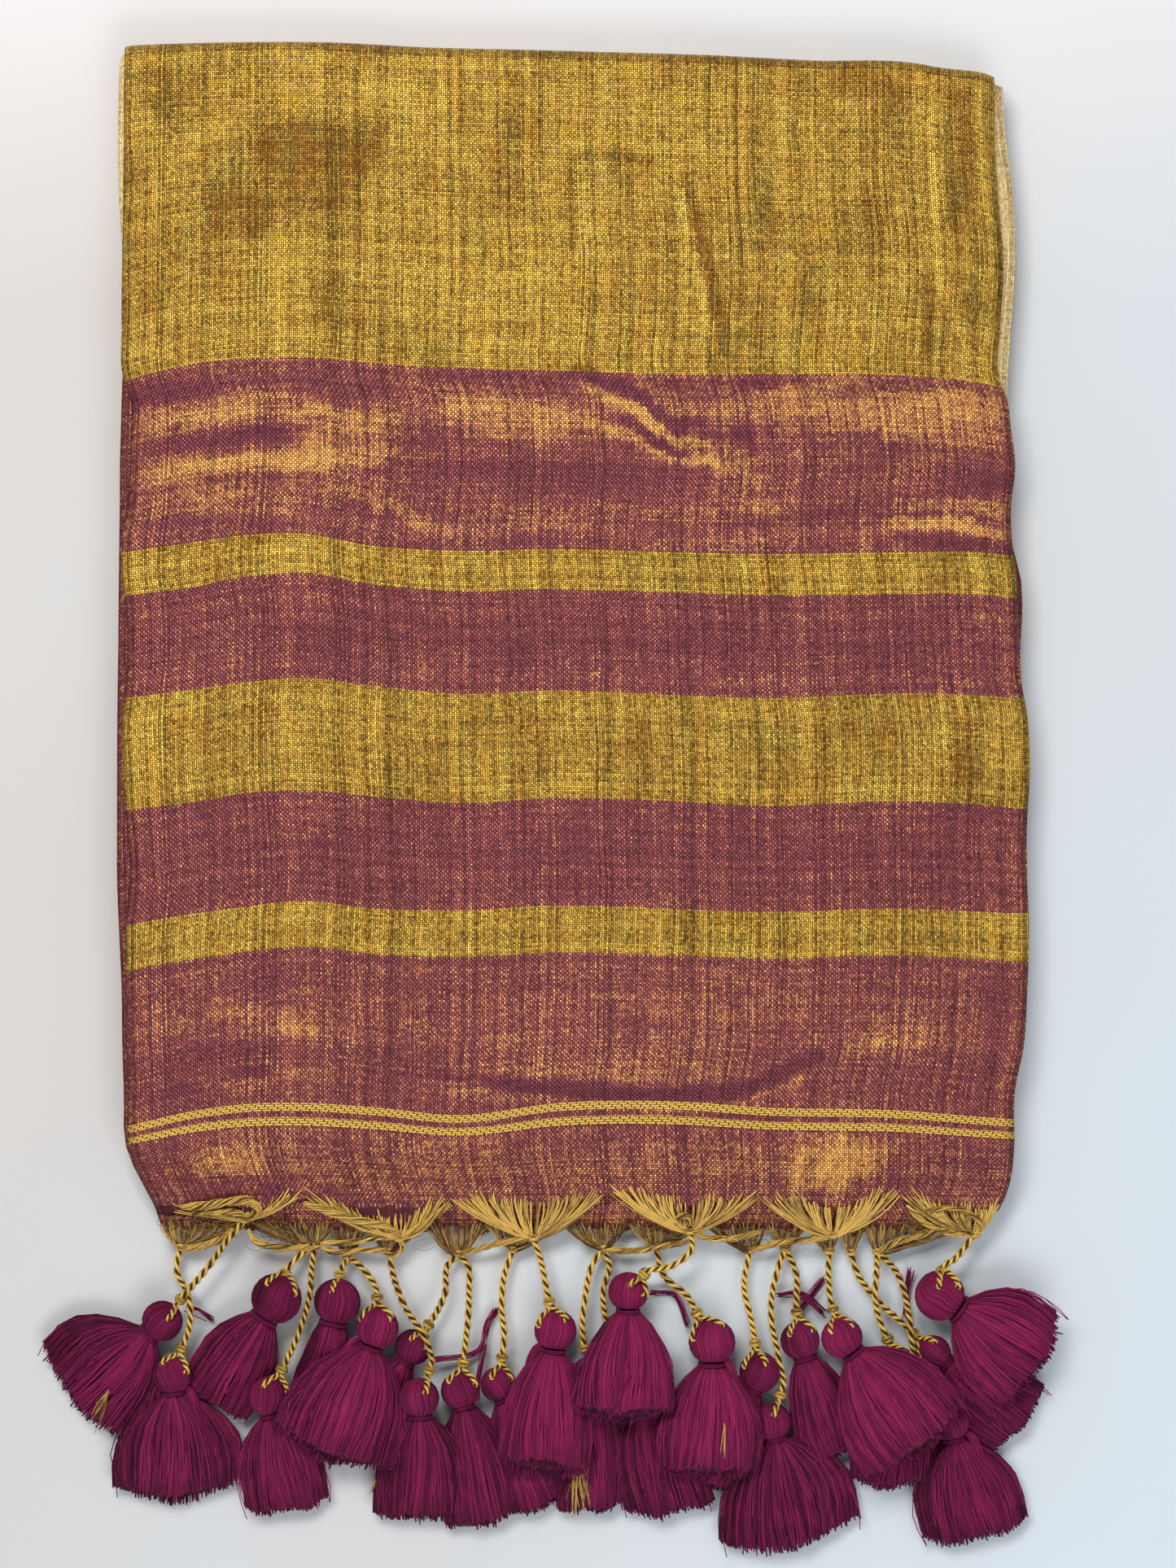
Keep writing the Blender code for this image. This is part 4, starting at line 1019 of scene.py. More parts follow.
class Strands:
    """Many closed strands gathered into one mesh."""

    def __init__(self):
        self.points = []
        self.quads = []
        self.quad_maps = []
        self.tris = []
        self.tones = []
        self.total = 0

    def add(self, points, quads, tris, tones, quad_maps=None):
        """Closed body, with one tone for each point; plain bodies have no map."""
        self.points.append(points)
        self.quads.append(quads + self.total)
        self.quad_maps.append(np.zeros((len(quads), 4, 2)) if quad_maps is None else quad_maps)
        self.tris.append(tris + self.total)
        self.tones.append(tones)
        self.total += len(points)

    def tubes(self, paths, radii, sides, tones, around=None):
        """Tubes along paths of the same number of points, each with its own radius and tone.

        Tubes laid around another path get painted shade where they press on it.
        """
        strands, stations = paths.shape[:2]
        _, sideways, upward = frames_along(paths)
        turns = math.tau * (np.arange(sides) + FLAT_TOP.get(sides, 0.0)) / sides
        ring = sideways[:, :, None, :] * np.cos(turns)[None, None, :, None]
        ring = ring + upward[:, :, None, :] * np.sin(turns)[None, None, :, None]
        points = paths[:, :, None, :] + ring * radii[:, :, None, None]
        index = np.arange(strands * stations * sides).reshape(strands, stations, sides)
        following = np.roll(index, -1, axis=2)
        quads = np.stack([index[:, :-1], index[:, 1:], following[:, 1:], following[:, :-1]], axis=-1)
        fans = []
        for side in range(1, sides - 1):
            fans.append(np.stack([index[:, 0, 0], index[:, 0, side], index[:, 0, side + 1]], axis=1))
            fans.append(np.stack([index[:, -1, 0], index[:, -1, side + 1], index[:, -1, side]], axis=1))
        tones = np.repeat(tones, stations * sides)
        if around is not None:
            away = np.linalg.norm(points - around[None, :, None, :], axis=-1)
            tones = tones + PLY_SHADE * (away / away.max() - PLY_SHADE_MIDDLE).ravel()
        maps = self.lay_maps(paths, sides)
        self.add(points.reshape(-1, 3), quads.reshape(-1, 4), np.concatenate(fans), tones, maps)

    @staticmethod
    def lay_maps(paths, sides):
        """Map of tubes: share of the way round, and distance along in millimetres."""
        strands, stations = paths.shape[:2]
        lengths = np.linalg.norm(np.diff(paths, axis=1), axis=2)
        travelled = np.concatenate([np.zeros((strands, 1)), np.cumsum(lengths, axis=1)], axis=1)
        place = np.broadcast_to(np.arange(sides) / sides, (strands, stations - 1, sides))
        low = np.broadcast_to(travelled[:, :-1, None], place.shape)
        high = np.broadcast_to(travelled[:, 1:, None], place.shape)
        beside = place + 1.0 / sides
        corners = ((place, low), (place, high), (beside, high), (beside, low))
        return np.stack([np.stack(corner, axis=-1) for corner in corners], axis=-2).reshape(-1, 4, 2)

    def thread(self, path, radius, sides, tone, around=None):
        """One tube of even thickness along a path."""
        self.tubes(path[None], np.full((1, len(path)), radius), sides, np.array([tone]), around)

    def ball(self, centre, axes, around, rings, tone):
        """Closed ball with its poles on the first axis; axes are three vectors that carry its radii."""
        first, second, third = axes
        points = [centre + first]
        for ring in range(1, rings):
            lean = math.pi * ring / rings
            for step in range(around):
                turn = math.tau * step / around
                offset = first * math.cos(lean)
                offset = offset + (second * math.cos(turn) + third * math.sin(turn)) * math.sin(lean)
                points.append(centre + offset)
        points.append(centre - first)
        quads = []
        for ring in range(rings - 2):
            for step in range(around):
                low = 1 + ring * around + step
                beside = 1 + ring * around + (step + 1) % around
                quads.append((low, low + around, beside + around, beside))
        tris = []
        last = len(points) - 1
        for step in range(around):
            beside = (step + 1) % around
            tris.append((0, 1 + step, 1 + beside))
            tris.append((last, last - around + beside, last - around + step))
        self.add(np.array(points), np.array(quads), np.array(tris), np.full(len(points), tone))

    def piece(self, name, material, slot, nodes):
        """Named piece of all the strands."""
        quads = np.concatenate(self.quads)
        tris = np.concatenate(self.tris)
        mesh = mesh_of(name, np.concatenate(self.points), quads, tris)
        quad_maps = np.concatenate(self.quad_maps).reshape(-1, 2)
        add_map(mesh, "lay", np.concatenate([quad_maps, np.zeros((len(tris) * 3, 2))]))
        add_tone(mesh, "tone", np.concatenate(self.tones))
        return place_piece(name, mesh, material, nodes)


# Points tried for each given point of a smooth path
PATH_POINTS = 40


def smooth_path(points, spacing):
    """Smooth curve through points, in even steps of about the spacing, and its length."""
    points = np.array(points, float)
    passed = walked(points)
    fine = np.linspace(0.0, passed[-1], PATH_POINTS * len(points))
    if len(points) > 2:
        dense = np.stack([curve_through(passed, points[:, axis], fine) for axis in range(3)], axis=1)
    else:
        dense = np.stack([np.interp(fine, passed, points[:, axis]) for axis in range(3)], axis=1)
    passed = walked(dense)
    steps = np.linspace(0.0, passed[-1], max(3, int(passed[-1] / spacing) + 1))
    return np.stack([np.interp(steps, passed, dense[:, axis]) for axis in range(3)], axis=1), passed[-1]


# Cord: length of one turn of its plies, each ply's radius, how far it lies from the middle, its sides,
# and the steps along it
PLY_PITCH = 6.2
PLY_RADIUS = 0.6
PLY_OFFSET = 0.62
PLY_SIDES = 6
CORD_SPACING = 0.56
CORD_TONES = (0.5, 0.85)


def twisted_cord(strands, points, scale, random):
    """Two plies laid round each other along a path."""
    path, length = smooth_path(points, CORD_SPACING)
    _, sideways, upward = frames_along(path)
    passed = np.linspace(0.0, length, len(path))
    turn = passed / (PLY_PITCH * scale * random.uniform(0.9, 1.1)) * math.tau + random.uniform(0.0, math.tau)
    turn = turn + 0.5 * np.sin(passed * 0.45 + random.uniform(0.0, math.tau))
    tone = random.uniform(*CORD_TONES)
    for ply in range(2):
        phase = (turn + ply * math.pi)[:, None]
        laid = path + (sideways * np.cos(phase) + upward * np.sin(phase)) * PLY_OFFSET * scale
        strands.thread(laid, PLY_RADIUS * scale, PLY_SIDES, tone + random.uniform(-0.12, 0.12), path)


# Threads that are drawn singly: steps along them, and the radius of those in a loose bundle
THREAD_STEP = 1.6
BUNDLE_THREAD = 0.2
BUNDLE_TONES = (0.0, 1.9)
BUNDLE_LAY = 16.0


def loose_bundle(strands, points, radius, count, random):
    """Bundle of loose threads that wander round each other along a path."""
    path, length = smooth_path(points, THREAD_STEP)
    _, sideways, upward = frames_along(path)
    share = np.linspace(0.0, 1.0, len(path))[:, None]
    taper = np.minimum(1.0, np.minimum(share, 1.0 - share) * 5.0 + 0.35)
    paths = []
    for _ in range(count):
        away = radius * 1.15 * math.sqrt(random.uniform(0.05, 1.0))
        turn = random.uniform(0.0, math.tau)
        turn = turn + share * length / BUNDLE_LAY * random.uniform(0.6, 1.4) * math.tau
        paths.append(path + (sideways * np.cos(turn) + upward * np.sin(turn)) * away * taper)
    paths = np.array(paths)
    radii = np.full(paths.shape[:2], BUNDLE_THREAD) * random.uniform(0.8, 1.3, count)[:, None]
    strands.tubes(paths, radii, 3, random.uniform(*BUNDLE_TONES, count))


# Turns of cord over a knot: how much each leans, and where it lies along the knot
KNOT_TURNS = ((0.5, 0.55), (-0.45, 0.5), (0.05, 0.8))
KNOT_CORE = 0.8
KNOT_CORE_TONE = 0.35


def wound_knot(strands, centre, along, radius, random):
    """Small knot: a core with three turns of cord wound over it."""
    along = along / np.linalg.norm(along)
    sideways = np.cross(along, UP)
    sideways /= np.linalg.norm(sideways)
    upward = np.cross(sideways, along)
    axes = [axis * radius * KNOT_CORE for axis in (along, sideways, upward)]
    strands.ball(centre, axes, 10, 6, KNOT_CORE_TONE)
    for lean, share in KNOT_TURNS:
        turn = np.linspace(0.0, math.tau * 1.04, 18) + random.uniform(0.0, 1.5)
        tilt = lean * np.sin(turn)[:, None]
        ring = sideways * np.cos(turn)[:, None] + upward * np.sin(turn)[:, None]
        ring = ring + along * (tilt + (share - 0.6) * 1.2)
        strands.thread(centre + ring * radius * 0.82, radius * 0.3, 5, random.uniform(0.3, 1.0))


# How far below the top of its layer the fringe's middle lies
FRINGE_DEPTH = 0.6


def fringe_middle(side, y):
    """Height of the fringe's middle at a place along Y."""
    if side == "front":
        return FACE_TOP - FRINGE_DEPTH - FACE_DROOP_SHARE * droop(y) - lip(y)
    return UNDER_TOP - FRINGE_DEPTH - droop(y)


def knot_centre(side, row):
    """Middle of one fringe knot."""
    x, y = (FRONT_KNOTS if side == "front" else BACK_KNOTS)[row]
    return np.array([x, y, float(fringe_middle(side, y))])


def swept(first, second, third, fourth, step):
    """Curve from the first place to the fourth, drawn towards the two between."""
    back = 1 - step
    return first * back**3 + 3 * second * step * back**2 + 3 * third * step**2 * back + fourth * step**3


# Warp ends in a fan: how few there are, how far the longest reach up into the cloth, and how deep
# their first two points sink into it
FEWEST_ENDS = 6
LONGEST_REACH = 3.0
ROOT_DEPTHS = (0.5, 0.15)


def fan(strands, side, knot, peak_x, tones, random):
    """One side of a fan: warp ends that leave the cloth, bend over and sweep together into a knot."""
    knot_x, knot_y = knot
    end_line = near_end_of_face if side == "front" else near_end_of_under
    reach = peak_x - knot_x
    count = int(FEWEST_ENDS + abs(reach) / THREAD_SPACING[side])
    share = np.linspace(0.03, 1.0, count) + random.normal(0.0, 0.35 / abs(reach), count)
    x = knot_x + reach * share
    ragged = 0.7 * np.sin(x * 0.42 + knot_x) + 0.5 * np.sin(x * 1.3 + peak_x)
    top = end_line(x) + TOP_RISE[side] + ragged + np.minimum(random.exponential(1.1, count), LONGEST_REACH)
    drop = top - knot_y
    step = np.linspace(0.0, 1.0, FAN_STATIONS)[None, :]

    second_x = x - 0.2 * reach * share**3 + random.normal(0.0, 0.4, count)
    second_y = top - drop * (0.55 - 0.25 * share)
    third_x = knot_x + reach * share * random.uniform(0.32, 0.52, count)
    third_y = knot_y + drop * random.uniform(-0.02, 0.2, count)
    last_x = np.full(count, knot_x + 0.03 * reach)
    last_y = knot_y + random.normal(0.0, BUNDLE_SPREAD, count)
    path_x = swept(*(place[:, None] for place in (x, second_x, third_x, last_x)), step)
    path_y = swept(*(place[:, None] for place in (top, second_y, third_y, last_y)), step)
    gathered = step**2
    height = 0.8 + random.uniform(0.0, 0.6, (count, 1)) * (1.0 - gathered)
    height = height + random.normal(0.0, 0.5, (count, 1)) * gathered
    paths = np.stack([path_x, path_y, fringe_middle(side, path_y) + height], axis=2)
    phase = random.uniform(0.0, math.tau, (count, 1))
    wander = np.sin(step * random.uniform(3.0, 8.0, (count, 1)) + phase)
    paths[..., 0] += 0.3 * wander * np.sin(math.pi * step)
    radii = np.full(paths.shape[:2], FAN_THREAD[side]) * random.uniform(0.7, 1.3, count)[:, None]
    radii[:, 0] *= 0.4
    for station, depth in enumerate(ROOT_DEPTHS):
        paths[:, station, 2] -= depth
    strands.tubes(paths, radii, 3, random.uniform(*tones, count))


# Curled ends: points along each, its radius and tones, and the lowest that it may lie
WISP_POINTS = 9
WISP_THREAD = 0.085
WISP_TONES = (0.0, 0.7)
LOWEST_THREAD = 0.5


def wisps(strands, left, right, low, high, z, count, random):
    """Fine curled warp ends that float between a bundle and the cloth."""
    for _ in range(count):
        middle = np.array([random.uniform(left, right), random.uniform(low, high), z])
        turns = np.linspace(0.0, random.uniform(3.0, 6.5), WISP_POINTS)
        size = random.uniform(1.2, 4.2) * (1.0 - 0.06 * turns)
        tilt = random.uniform(0.3, 0.8)
        turned = turns + random.uniform(0.0, math.tau)
        curl = [size * np.cos(turned), tilt * size * np.sin(turned), 0.5 * np.sin(turns)]
        path = middle + np.stack(curl, axis=1)
        path[:, 2] = np.maximum(path[:, 2], LOWEST_THREAD)
        strands.thread(path, WISP_THREAD, 3, random.uniform(*WISP_TONES))


# Where the outermost fans of the back row end, and how much smaller its knots are
BACK_LIMITS = (-127.5, 131.0)
BACK_KNOT_SHARE = 0.9
BACK_LAYERS = 2


def fringe_pieces(material):
    """Front and back rows of fans with their knots, loose bundles and fine curled ends."""
    random = np.random.default_rng(5)
    down = np.array([0.0, -1.0, 0.0])
    front = Strands()
    for row, knot in enumerate(FRONT_KNOTS):
        for peak_x in FRONT_PEAKS[row : row + 2]:
            fan(front, "front", knot, peak_x, FRONT_TONES, random)
        wound_knot(front, knot_centre("front", row), down, KNOT_RADIUS, random)
    back = Strands()
    centres = [knot[0] for knot in BACK_KNOTS]
    gaps = [(low + high) / 2.0 for low, high in zip(centres, centres[1:])]
    parts = [BACK_LIMITS[0], *gaps, BACK_LIMITS[1]]
    for row, knot in enumerate(BACK_KNOTS):
        for peak_x in parts[row : row + 2]:
            for _ in range(BACK_LAYERS):
                fan(back, "back", knot, peak_x, BACK_TONES, random)
        wound_knot(back, knot_centre("back", row), down, KNOT_RADIUS * BACK_KNOT_SHARE, random)
    for points, radius, on_front in BUNDLES:
        settled = [(x, y, z - (LIP_DROP if on_front else 0.0)) for x, y, z in points]
        loose_bundle(front if on_front else back, settled, radius, int(BUNDLE_THREADS * radius), random)
    for left, right, low, high, z, count in WISPS:
        wisps(back, left, right, low, high, z, count, random)
    return (
        front.piece("front_fans", material, "gold_thread", ["fringe_front"]),
        back.piece("back_fans", material, "gold_thread", ["fringe_back"]),
    )


def gold_strays(strands, random):
    """Loose gold ends that have slipped down among the tassels."""

    def aside(spread, rise=0.0):
        return np.append(random.normal(0.0, spread, 2), rise)

    for start, end, height, count, flare in GOLD_STRAYS:
        start = np.array([*start, height])
        end = np.array([*end, height - 0.8])
        for _ in range(count):
            tip = end + aside(flare)
            middle = (start + tip) / 2.0 + aside(0.35 * flare, 0.3)
            path, _ = smooth_path([start + aside(0.3), middle, tip], THREAD_STEP)
            strands.thread(path, 0.12, 3, random.uniform(0.5, 1.5))


# Heads: how much bigger the wound ball is than the plain head, the strands over it and their radius,
# their tones, and how far its core and the strands' middles lie under its surface
HEAD_SWELL = 1.05
HEAD_STRANDS = 62
HEAD_THREAD = 0.36
HEAD_TONES = (0.32, 0.72)
HEAD_CORE_DEPTH = 0.35
HEAD_STRAND_DEPTH = 0.3

# Necks: radius as a share of the head's, how far into the head they reach, and where their turns of
# thread lie along them
NECK_SHARE = 0.62
NECK_OVERLAP = 0.2
NECK_TURNS = (-0.45, 0.15)
NECK_THREAD = 0.3

# Skirts: strands, stations along them and the radius of a strand, share of the way where the belly
# lies, half height there, how quickly the shoulders widen, how far the cut end runs in an arc, and how
# much shorter the core is, with its tones; then stubs, strays and loops, with the radius of a loose thread
SKIRT_STRANDS = 540
SKIRT_STATIONS = 6
SKIRT_THREAD = 0.235
STATION_CROWDING = 1.25
BELLY_AT = 0.45
BELLY_TO_TIPS = 0.55
HALF_HEIGHT = 3.0
SHOULDER_POWER = 3.2
FLARE_SHARE = 0.92
CORE_SHORTER = 0.035
CORE_RIM = 16
CORE_SHADE_TONE = -0.4
CORE_END_TONE = 0.1
END_STUBS = 90
SIDE_STRAYS = 4
STRAY_THREAD = 0.17
LOOP_STRANDS = 9
TIE_STRANDS = 12
LOOSE_THREAD = 0.19

# Painted light and shade: tassels that lie on others show a little lighter than those that lie under them,
# which get painted shade
LIFTED_BELLY = 10.0
LIFTED_SHADE = 0.08
LOW_SHADE = -0.14


class Tassel:
    """Place, directions and sizes of one tassel."""

    def __init__(self, index):
        x, y, z, radius, direction, length, width, belly_z, tip_z, slope, loops = TASSELS[index]
        turn = math.radians(direction)
        self.index = index
        self.node = f"tassel_{index + 1:02d}"
        self.centre = np.array([x, y, z])
        self.forward = np.array([math.sin(turn), -math.cos(turn), 0.0])
        self.sideways = np.array([math.cos(turn), math.sin(turn), 0.0])
        self.radius = radius
        self.wound_radius = radius * HEAD_SWELL
        self.neck = self.centre + self.forward * (self.wound_radius - NECK_OVERLAP)
        self.neck[2] = z + np.clip(belly_z - z, -1.0, 1.0) * 0.6
        self.neck_radius = self.wound_radius * NECK_SHARE
        self.length = length - self.wound_radius + NECK_OVERLAP
        self.width = width
        self.belly_z = belly_z
        self.tip_z = tip_z
        self.slope = slope
        self.loops = loops
        self.shade = LIFTED_SHADE if belly_z > LIFTED_BELLY else LOW_SHADE

    def outward(self, angle):
        """Direction out from the tassel's middle line, at an angle from its side up to its top."""
        return self.sideways * np.cos(angle)[..., None] + UP * np.sin(angle)[..., None]

    def cut_at(self, lift):
        """How long the skirt is cut at its top (lift 1) and its underside (lift -1)."""
        return 1.0 - self.slope * (np.maximum(lift, -0.45) + 0.4)


class Skirt:
    """Form of one skirt at stations from its neck to its cut end, with a sideways bend."""

    def __init__(self, tassel, bend):
        self.bend = bend
        self.shares = np.linspace(0.0, 1.0, SKIRT_STATIONS) ** STATION_CROWDING
        root = tassel.neck_radius * 0.85
        self.half_widths = root + (tassel.width / 2.0 - root) * (1.0 - (1.0 - self.shares) ** SHOULDER_POWER)
        root = tassel.neck_radius * 0.8
        self.half_heights = root + (HALF_HEIGHT - root) * ease(self.shares / 0.4)
        belly_z, neck_z = tassel.belly_z, tassel.neck[2]
        rising = neck_z + (belly_z - neck_z) * ease(self.shares / BELLY_AT)
        falling = belly_z + (tassel.tip_z - belly_z) * (self.shares - BELLY_AT) / BELLY_TO_TIPS
        self.middle_z = np.where(self.shares > BELLY_AT, falling, rising)
        self.flare = FLARE_SHARE * tassel.width / 2.0 / tassel.length

    def arc(self, row):
        """Length of the skirt across it, so that its cut end runs in an arc; row runs from -1 to 1."""
        return np.sqrt(1.0 - (self.flare * row) ** 2)


def tassel_cords(material):
    """Twisted cords from the fringe knots to the heads, each with its own knot and loop."""
    random = np.random.default_rng(23)
    strands = Strands()
    tassels = [Tassel(index) for index in range(len(TASSELS))]
    for tassel, (side, row, route) in zip(tassels, CORDS):
        start = knot_centre(side, row)
        before = np.array(route[-1])
        into = tassel.centre - before
        distance = np.linalg.norm(into)
        into = into / distance
        knot = tassel.centre - into * min(tassel.radius + 3.2, distance - 0.5)
        path = [start] + [np.array(point) for point in route[:-1]] + [before, knot]
        twisted_cord(strands, path, 1.0, random)
        wound_knot(strands, knot, into, 1.85, random)
        beside = np.cross(into, UP)
        beside /= np.linalg.norm(beside)
        for degrees in tassel.loops:
            lean = np.linspace(0.0, 1.05, 9)[:, None]
            swing = math.radians(degrees * 0.8)
            over = -into * np.cos(lean) + (beside * math.sin(swing) + UP * math.cos(swing)) * np.sin(lean)
            arc = tassel.centre + over * (tassel.wound_radius + 0.3)
            end = tassel.centre + over[-1] * (tassel.radius - 1.5)
            twisted_cord(strands, np.concatenate([[knot], arc[2:], [end]]), 0.85, random)
    gold_strays(strands, random)
    return strands.piece("tassel_cords", material, "gold_thread", [tassel.node for tassel in tassels])


def wound_head(strands, tassel, random):
    """Ball head: strands that run from its top to the neck, over a core."""
    core = tassel.wound_radius - HEAD_CORE_DEPTH
    strands.ball(tassel.centre, (-tassel.forward * core, tassel.sideways * core, UP * core), 20, 12, 0.25)
    lean = np.linspace(0.1, math.pi - 0.3, 10)
    start = math.tau * np.arange(HEAD_STRANDS) / HEAD_STRANDS + random.normal(0.0, 0.015, HEAD_STRANDS)
    twist = random.uniform(-0.9, 0.9)
    turn = start[:, None] + twist * (lean / math.pi)[None, :]
    turn = turn + 0.05 * np.sin(lean * 5.0 + tassel.index)[None, :]
    over = -tassel.forward * np.cos(lean)[None, :, None] + tassel.outward(turn) * np.sin(lean)[None, :, None]
    uneven_depth = random.uniform(-0.08, 0.1, (HEAD_STRANDS, 1, 1))
    paths = tassel.centre + over * (tassel.wound_radius - HEAD_STRAND_DEPTH + uneven_depth)
    radii = np.full(paths.shape[:2], HEAD_THREAD) * np.maximum(0.35, np.sin(lean))[None, :]
    # Painted light and shade: strands over the top of the head lighter, those round its sides darker
    tones = random.uniform(*HEAD_TONES, HEAD_STRANDS) + 0.45 * (np.sin(start) - 0.75) + tassel.shade
    strands.tubes(paths, radii, 3, tones)


def bound_neck(strands, tassel):
    """Turns of thread that bind the neck."""
    angle = np.linspace(0.0, math.tau * 1.02, 20)
    for down in NECK_TURNS:
        turn = tassel.neck + tassel.forward * down + tassel.outward(angle) * tassel.neck_radius * 0.95
        strands.thread(turn, NECK_THREAD, 4, 0.3)


def skirt_core(strands, tassel, skirt):
    """Core inside the skirt's threads, painted dark as the shade among them, cut off as they are; gives the
    ring at its cut end.
    """
    angle = math.tau * np.arange(CORE_RIM) / CORE_RIM
    side, top = np.cos(angle), np.sin(angle)
    cut = (skirt.arc(side) - CORE_SHORTER) * tassel.cut_at(top)
    rings = []
    for share, half, height, z in zip(skirt.shares, skirt.half_widths, skirt.half_heights, skirt.middle_z):
        at = tassel.neck + tassel.sideways * skirt.bend * share**2
        at[2] = z
        at = at + tassel.forward * (tassel.length * share * cut)[:, None]
        rings.append(at + tassel.sideways * side[:, None] * half * 0.88 + UP * top[:, None] * height * 0.78)
    rings = np.array(rings)
    points, quads, tris = closed_rings(rings, rings[0].mean(axis=0), rings[-1].mean(axis=0))
    tones = np.append(np.full(len(points) - 1, CORE_SHADE_TONE), CORE_END_TONE)
    strands.add(points, quads, tris, tones)
    return rings[-1]


def cut_end(strands, tassel, end, random):
    """Short thread ends that fill the skirt's cut end inside the ring of its core."""
    middle = end.mean(axis=0)
    share = np.sqrt(random.uniform(0.0, 1.0, END_STUBS))
    place = random.uniform(0.0, CORE_RIM, END_STUBS).astype(int) % CORE_RIM
    tips = middle + (end[place] - middle) * share[:, None]
    tips = tips + tassel.forward * random.uniform(0.2, 1.1, (END_STUBS, 1))
    roots = tips - tassel.forward * 3.0 - (tips - middle) * 0.1
    tones = random.uniform(0.0, 0.8, END_STUBS) + tassel.shade
    strands.tubes(np.stack([roots, tips], axis=1), np.full((END_STUBS, 2), 0.24), 3, tones)


def skirt_threads(strands, tassel, skirt, random):
    """Cut threads of the skirt, more of them on its upper side, some gathered in clumps and some stray."""
    count = SKIRT_STRANDS
    on_top = int(0.6 * count)
    top_angles = np.linspace(-0.12, math.pi + 0.12, on_top)
    angle = np.concatenate([top_angles, np.linspace(math.pi, math.tau, count - on_top)])
    angle = angle + random.normal(0.0, 0.02, count)
    row = np.cos(angle)
    row = np.sign(row) * np.abs(row) ** 1.15
    lift = np.sin(angle) * np.sqrt(np.maximum(0.0, 1.0 - 0.7 * row**2))
    outer = random.uniform(0.0, 1.0, count) < 0.82
    depth = np.where(outer, random.uniform(0.92, 1.06, count), random.uniform(0.6, 0.92, count))
    reach = skirt.arc(row) + 0.018 * np.sin(row * 5.0 + tassel.index * 1.7)
    reach = tassel.length * (reach - 0.03 * row**4 + random.normal(0.0, 0.016, count)) * tassel.cut_at(lift)
    stray = random.uniform(0.0, 1.0, count) < 0.05
    reach = reach * np.where(stray, random.uniform(0.8, 1.06, count), 1.0)
    clumps = np.round(row * 4.0) / 4.0
    gather = random.uniform(0.0, 0.035, count)
    wave = random.uniform(0.15, 0.55, count)
    phase = random.uniform(0.0, math.tau, count)
    paths = np.zeros((count, SKIRT_STATIONS, 3))
    for station, share in enumerate(skirt.shares):
        drawn = row + (clumps - row) * gather * share
        drawn = drawn + np.where(stray, random.normal(0.0, 0.06, count), 0.0) * share
        flow = 0.8 * share * np.sin(row * 4.5 + share * 4.0 + tassel.index)
        aside = drawn * skirt.half_widths[station] * depth + wave * share * np.sin(phase + share * 7.0)
        aside = aside + flow + skirt.bend * share**2
        at = tassel.neck[None] + tassel.forward * (reach * share)[:, None] + tassel.sideways * aside[:, None]
        at[:, 2] = skirt.middle_z[station] + lift * skirt.half_heights[station] * depth
        at[:, 2] += 0.25 * np.sin(phase * 2.0 + share * 5.0) * share
        paths[:, station] = at
    paths[..., 2] = np.maximum(paths[..., 2], 0.45)
    radii = np.full(paths.shape[:2], SKIRT_THREAD) * random.uniform(0.8, 1.2, count)[:, None]
    radii[:, -1] *= 1.1
    # Painted light and shade: strands on the skirt's top lighter, those lying deeper inside it darker
    form = 0.4 * (np.maximum(lift, 0.0) - 0.75) - 1.6 * np.maximum(0.0, 0.95 - depth)
    strands.tubes(paths, radii, 3, random.uniform(0.15, 0.95, count) + form + tassel.shade)


def side_strays(strands, tassel, skirt, random):
    """Single threads that stand off the skirt's sides."""
    for hand in (-1.0, 1.0):
        for _ in range(SIDE_STRAYS):
            out = random.uniform(0.98, 1.16) - 1.0
            late = random.uniform(0.55, 1.02)
            line = []
            for share in np.linspace(0.0, 1.0, 7):
                place = share * late
                half = np.interp(place, skirt.shares, skirt.half_widths)
                half = half * (1.0 + out * math.sin(math.pi * share))
                aside = hand * half + skirt.bend * place**2
                at = tassel.neck + tassel.forward * tassel.length * late * share + tassel.sideways * aside
                at[2] = np.interp(place, skirt.shares, skirt.middle_z) + random.uniform(-0.3, 0.6)
                line.append(at + tassel.sideways * random.normal(0.0, 0.25))
            strands.thread(np.array(line), STRAY_THREAD, 3, random.uniform(0.3, 1.0))


# Line of a loop of threads at the neck: how far down the skirt and how far out from its middle line
LOOP_LINE = ((0.0, 0.4), (-2.2, 2.2), (-1.4, 4.8), (2.0, 6.6), (7.0, 7.0), (13.0, 7.6), (19.0, 9.0))


def shoulder_loop(strands, tassel, hand, random):
    """Loop of threads that springs out at the neck, to one side."""
    heights = np.interp([down for down, _ in LOOP_LINE], (-3.0, 3.0, 19.0), (1.0, 1.8, 0.4))
    for strand in range(LOOP_STRANDS):
        wide = 0.8 + 0.05 * strand
        line = []
        for (down, aside), rise in zip(LOOP_LINE, heights):
            at = tassel.neck + tassel.forward * (down * wide) + tassel.sideways * hand * aside * wide
            line.append(at + UP * (rise + random.normal(0.0, 0.2)))
        path, _ = smooth_path(line, THREAD_STEP)
        strands.thread(path, LOOSE_THREAD, 3, random.uniform(0.2, 1.0))


def tie_thread(strands, route, random):
    """Loose tie of thin threads along a route."""
    for _ in range(TIE_STRANDS):
        aside = random.normal(0.0, 0.55, 3) + random.normal(0.0, 0.3, (len(route), 3))
        path, _ = smooth_path(np.array(route) + aside, THREAD_STEP)
        path[:, 2] = np.maximum(path[:, 2], 0.4)
        strands.thread(path, LOOSE_THREAD, 3, random.uniform(0.0, 0.9))


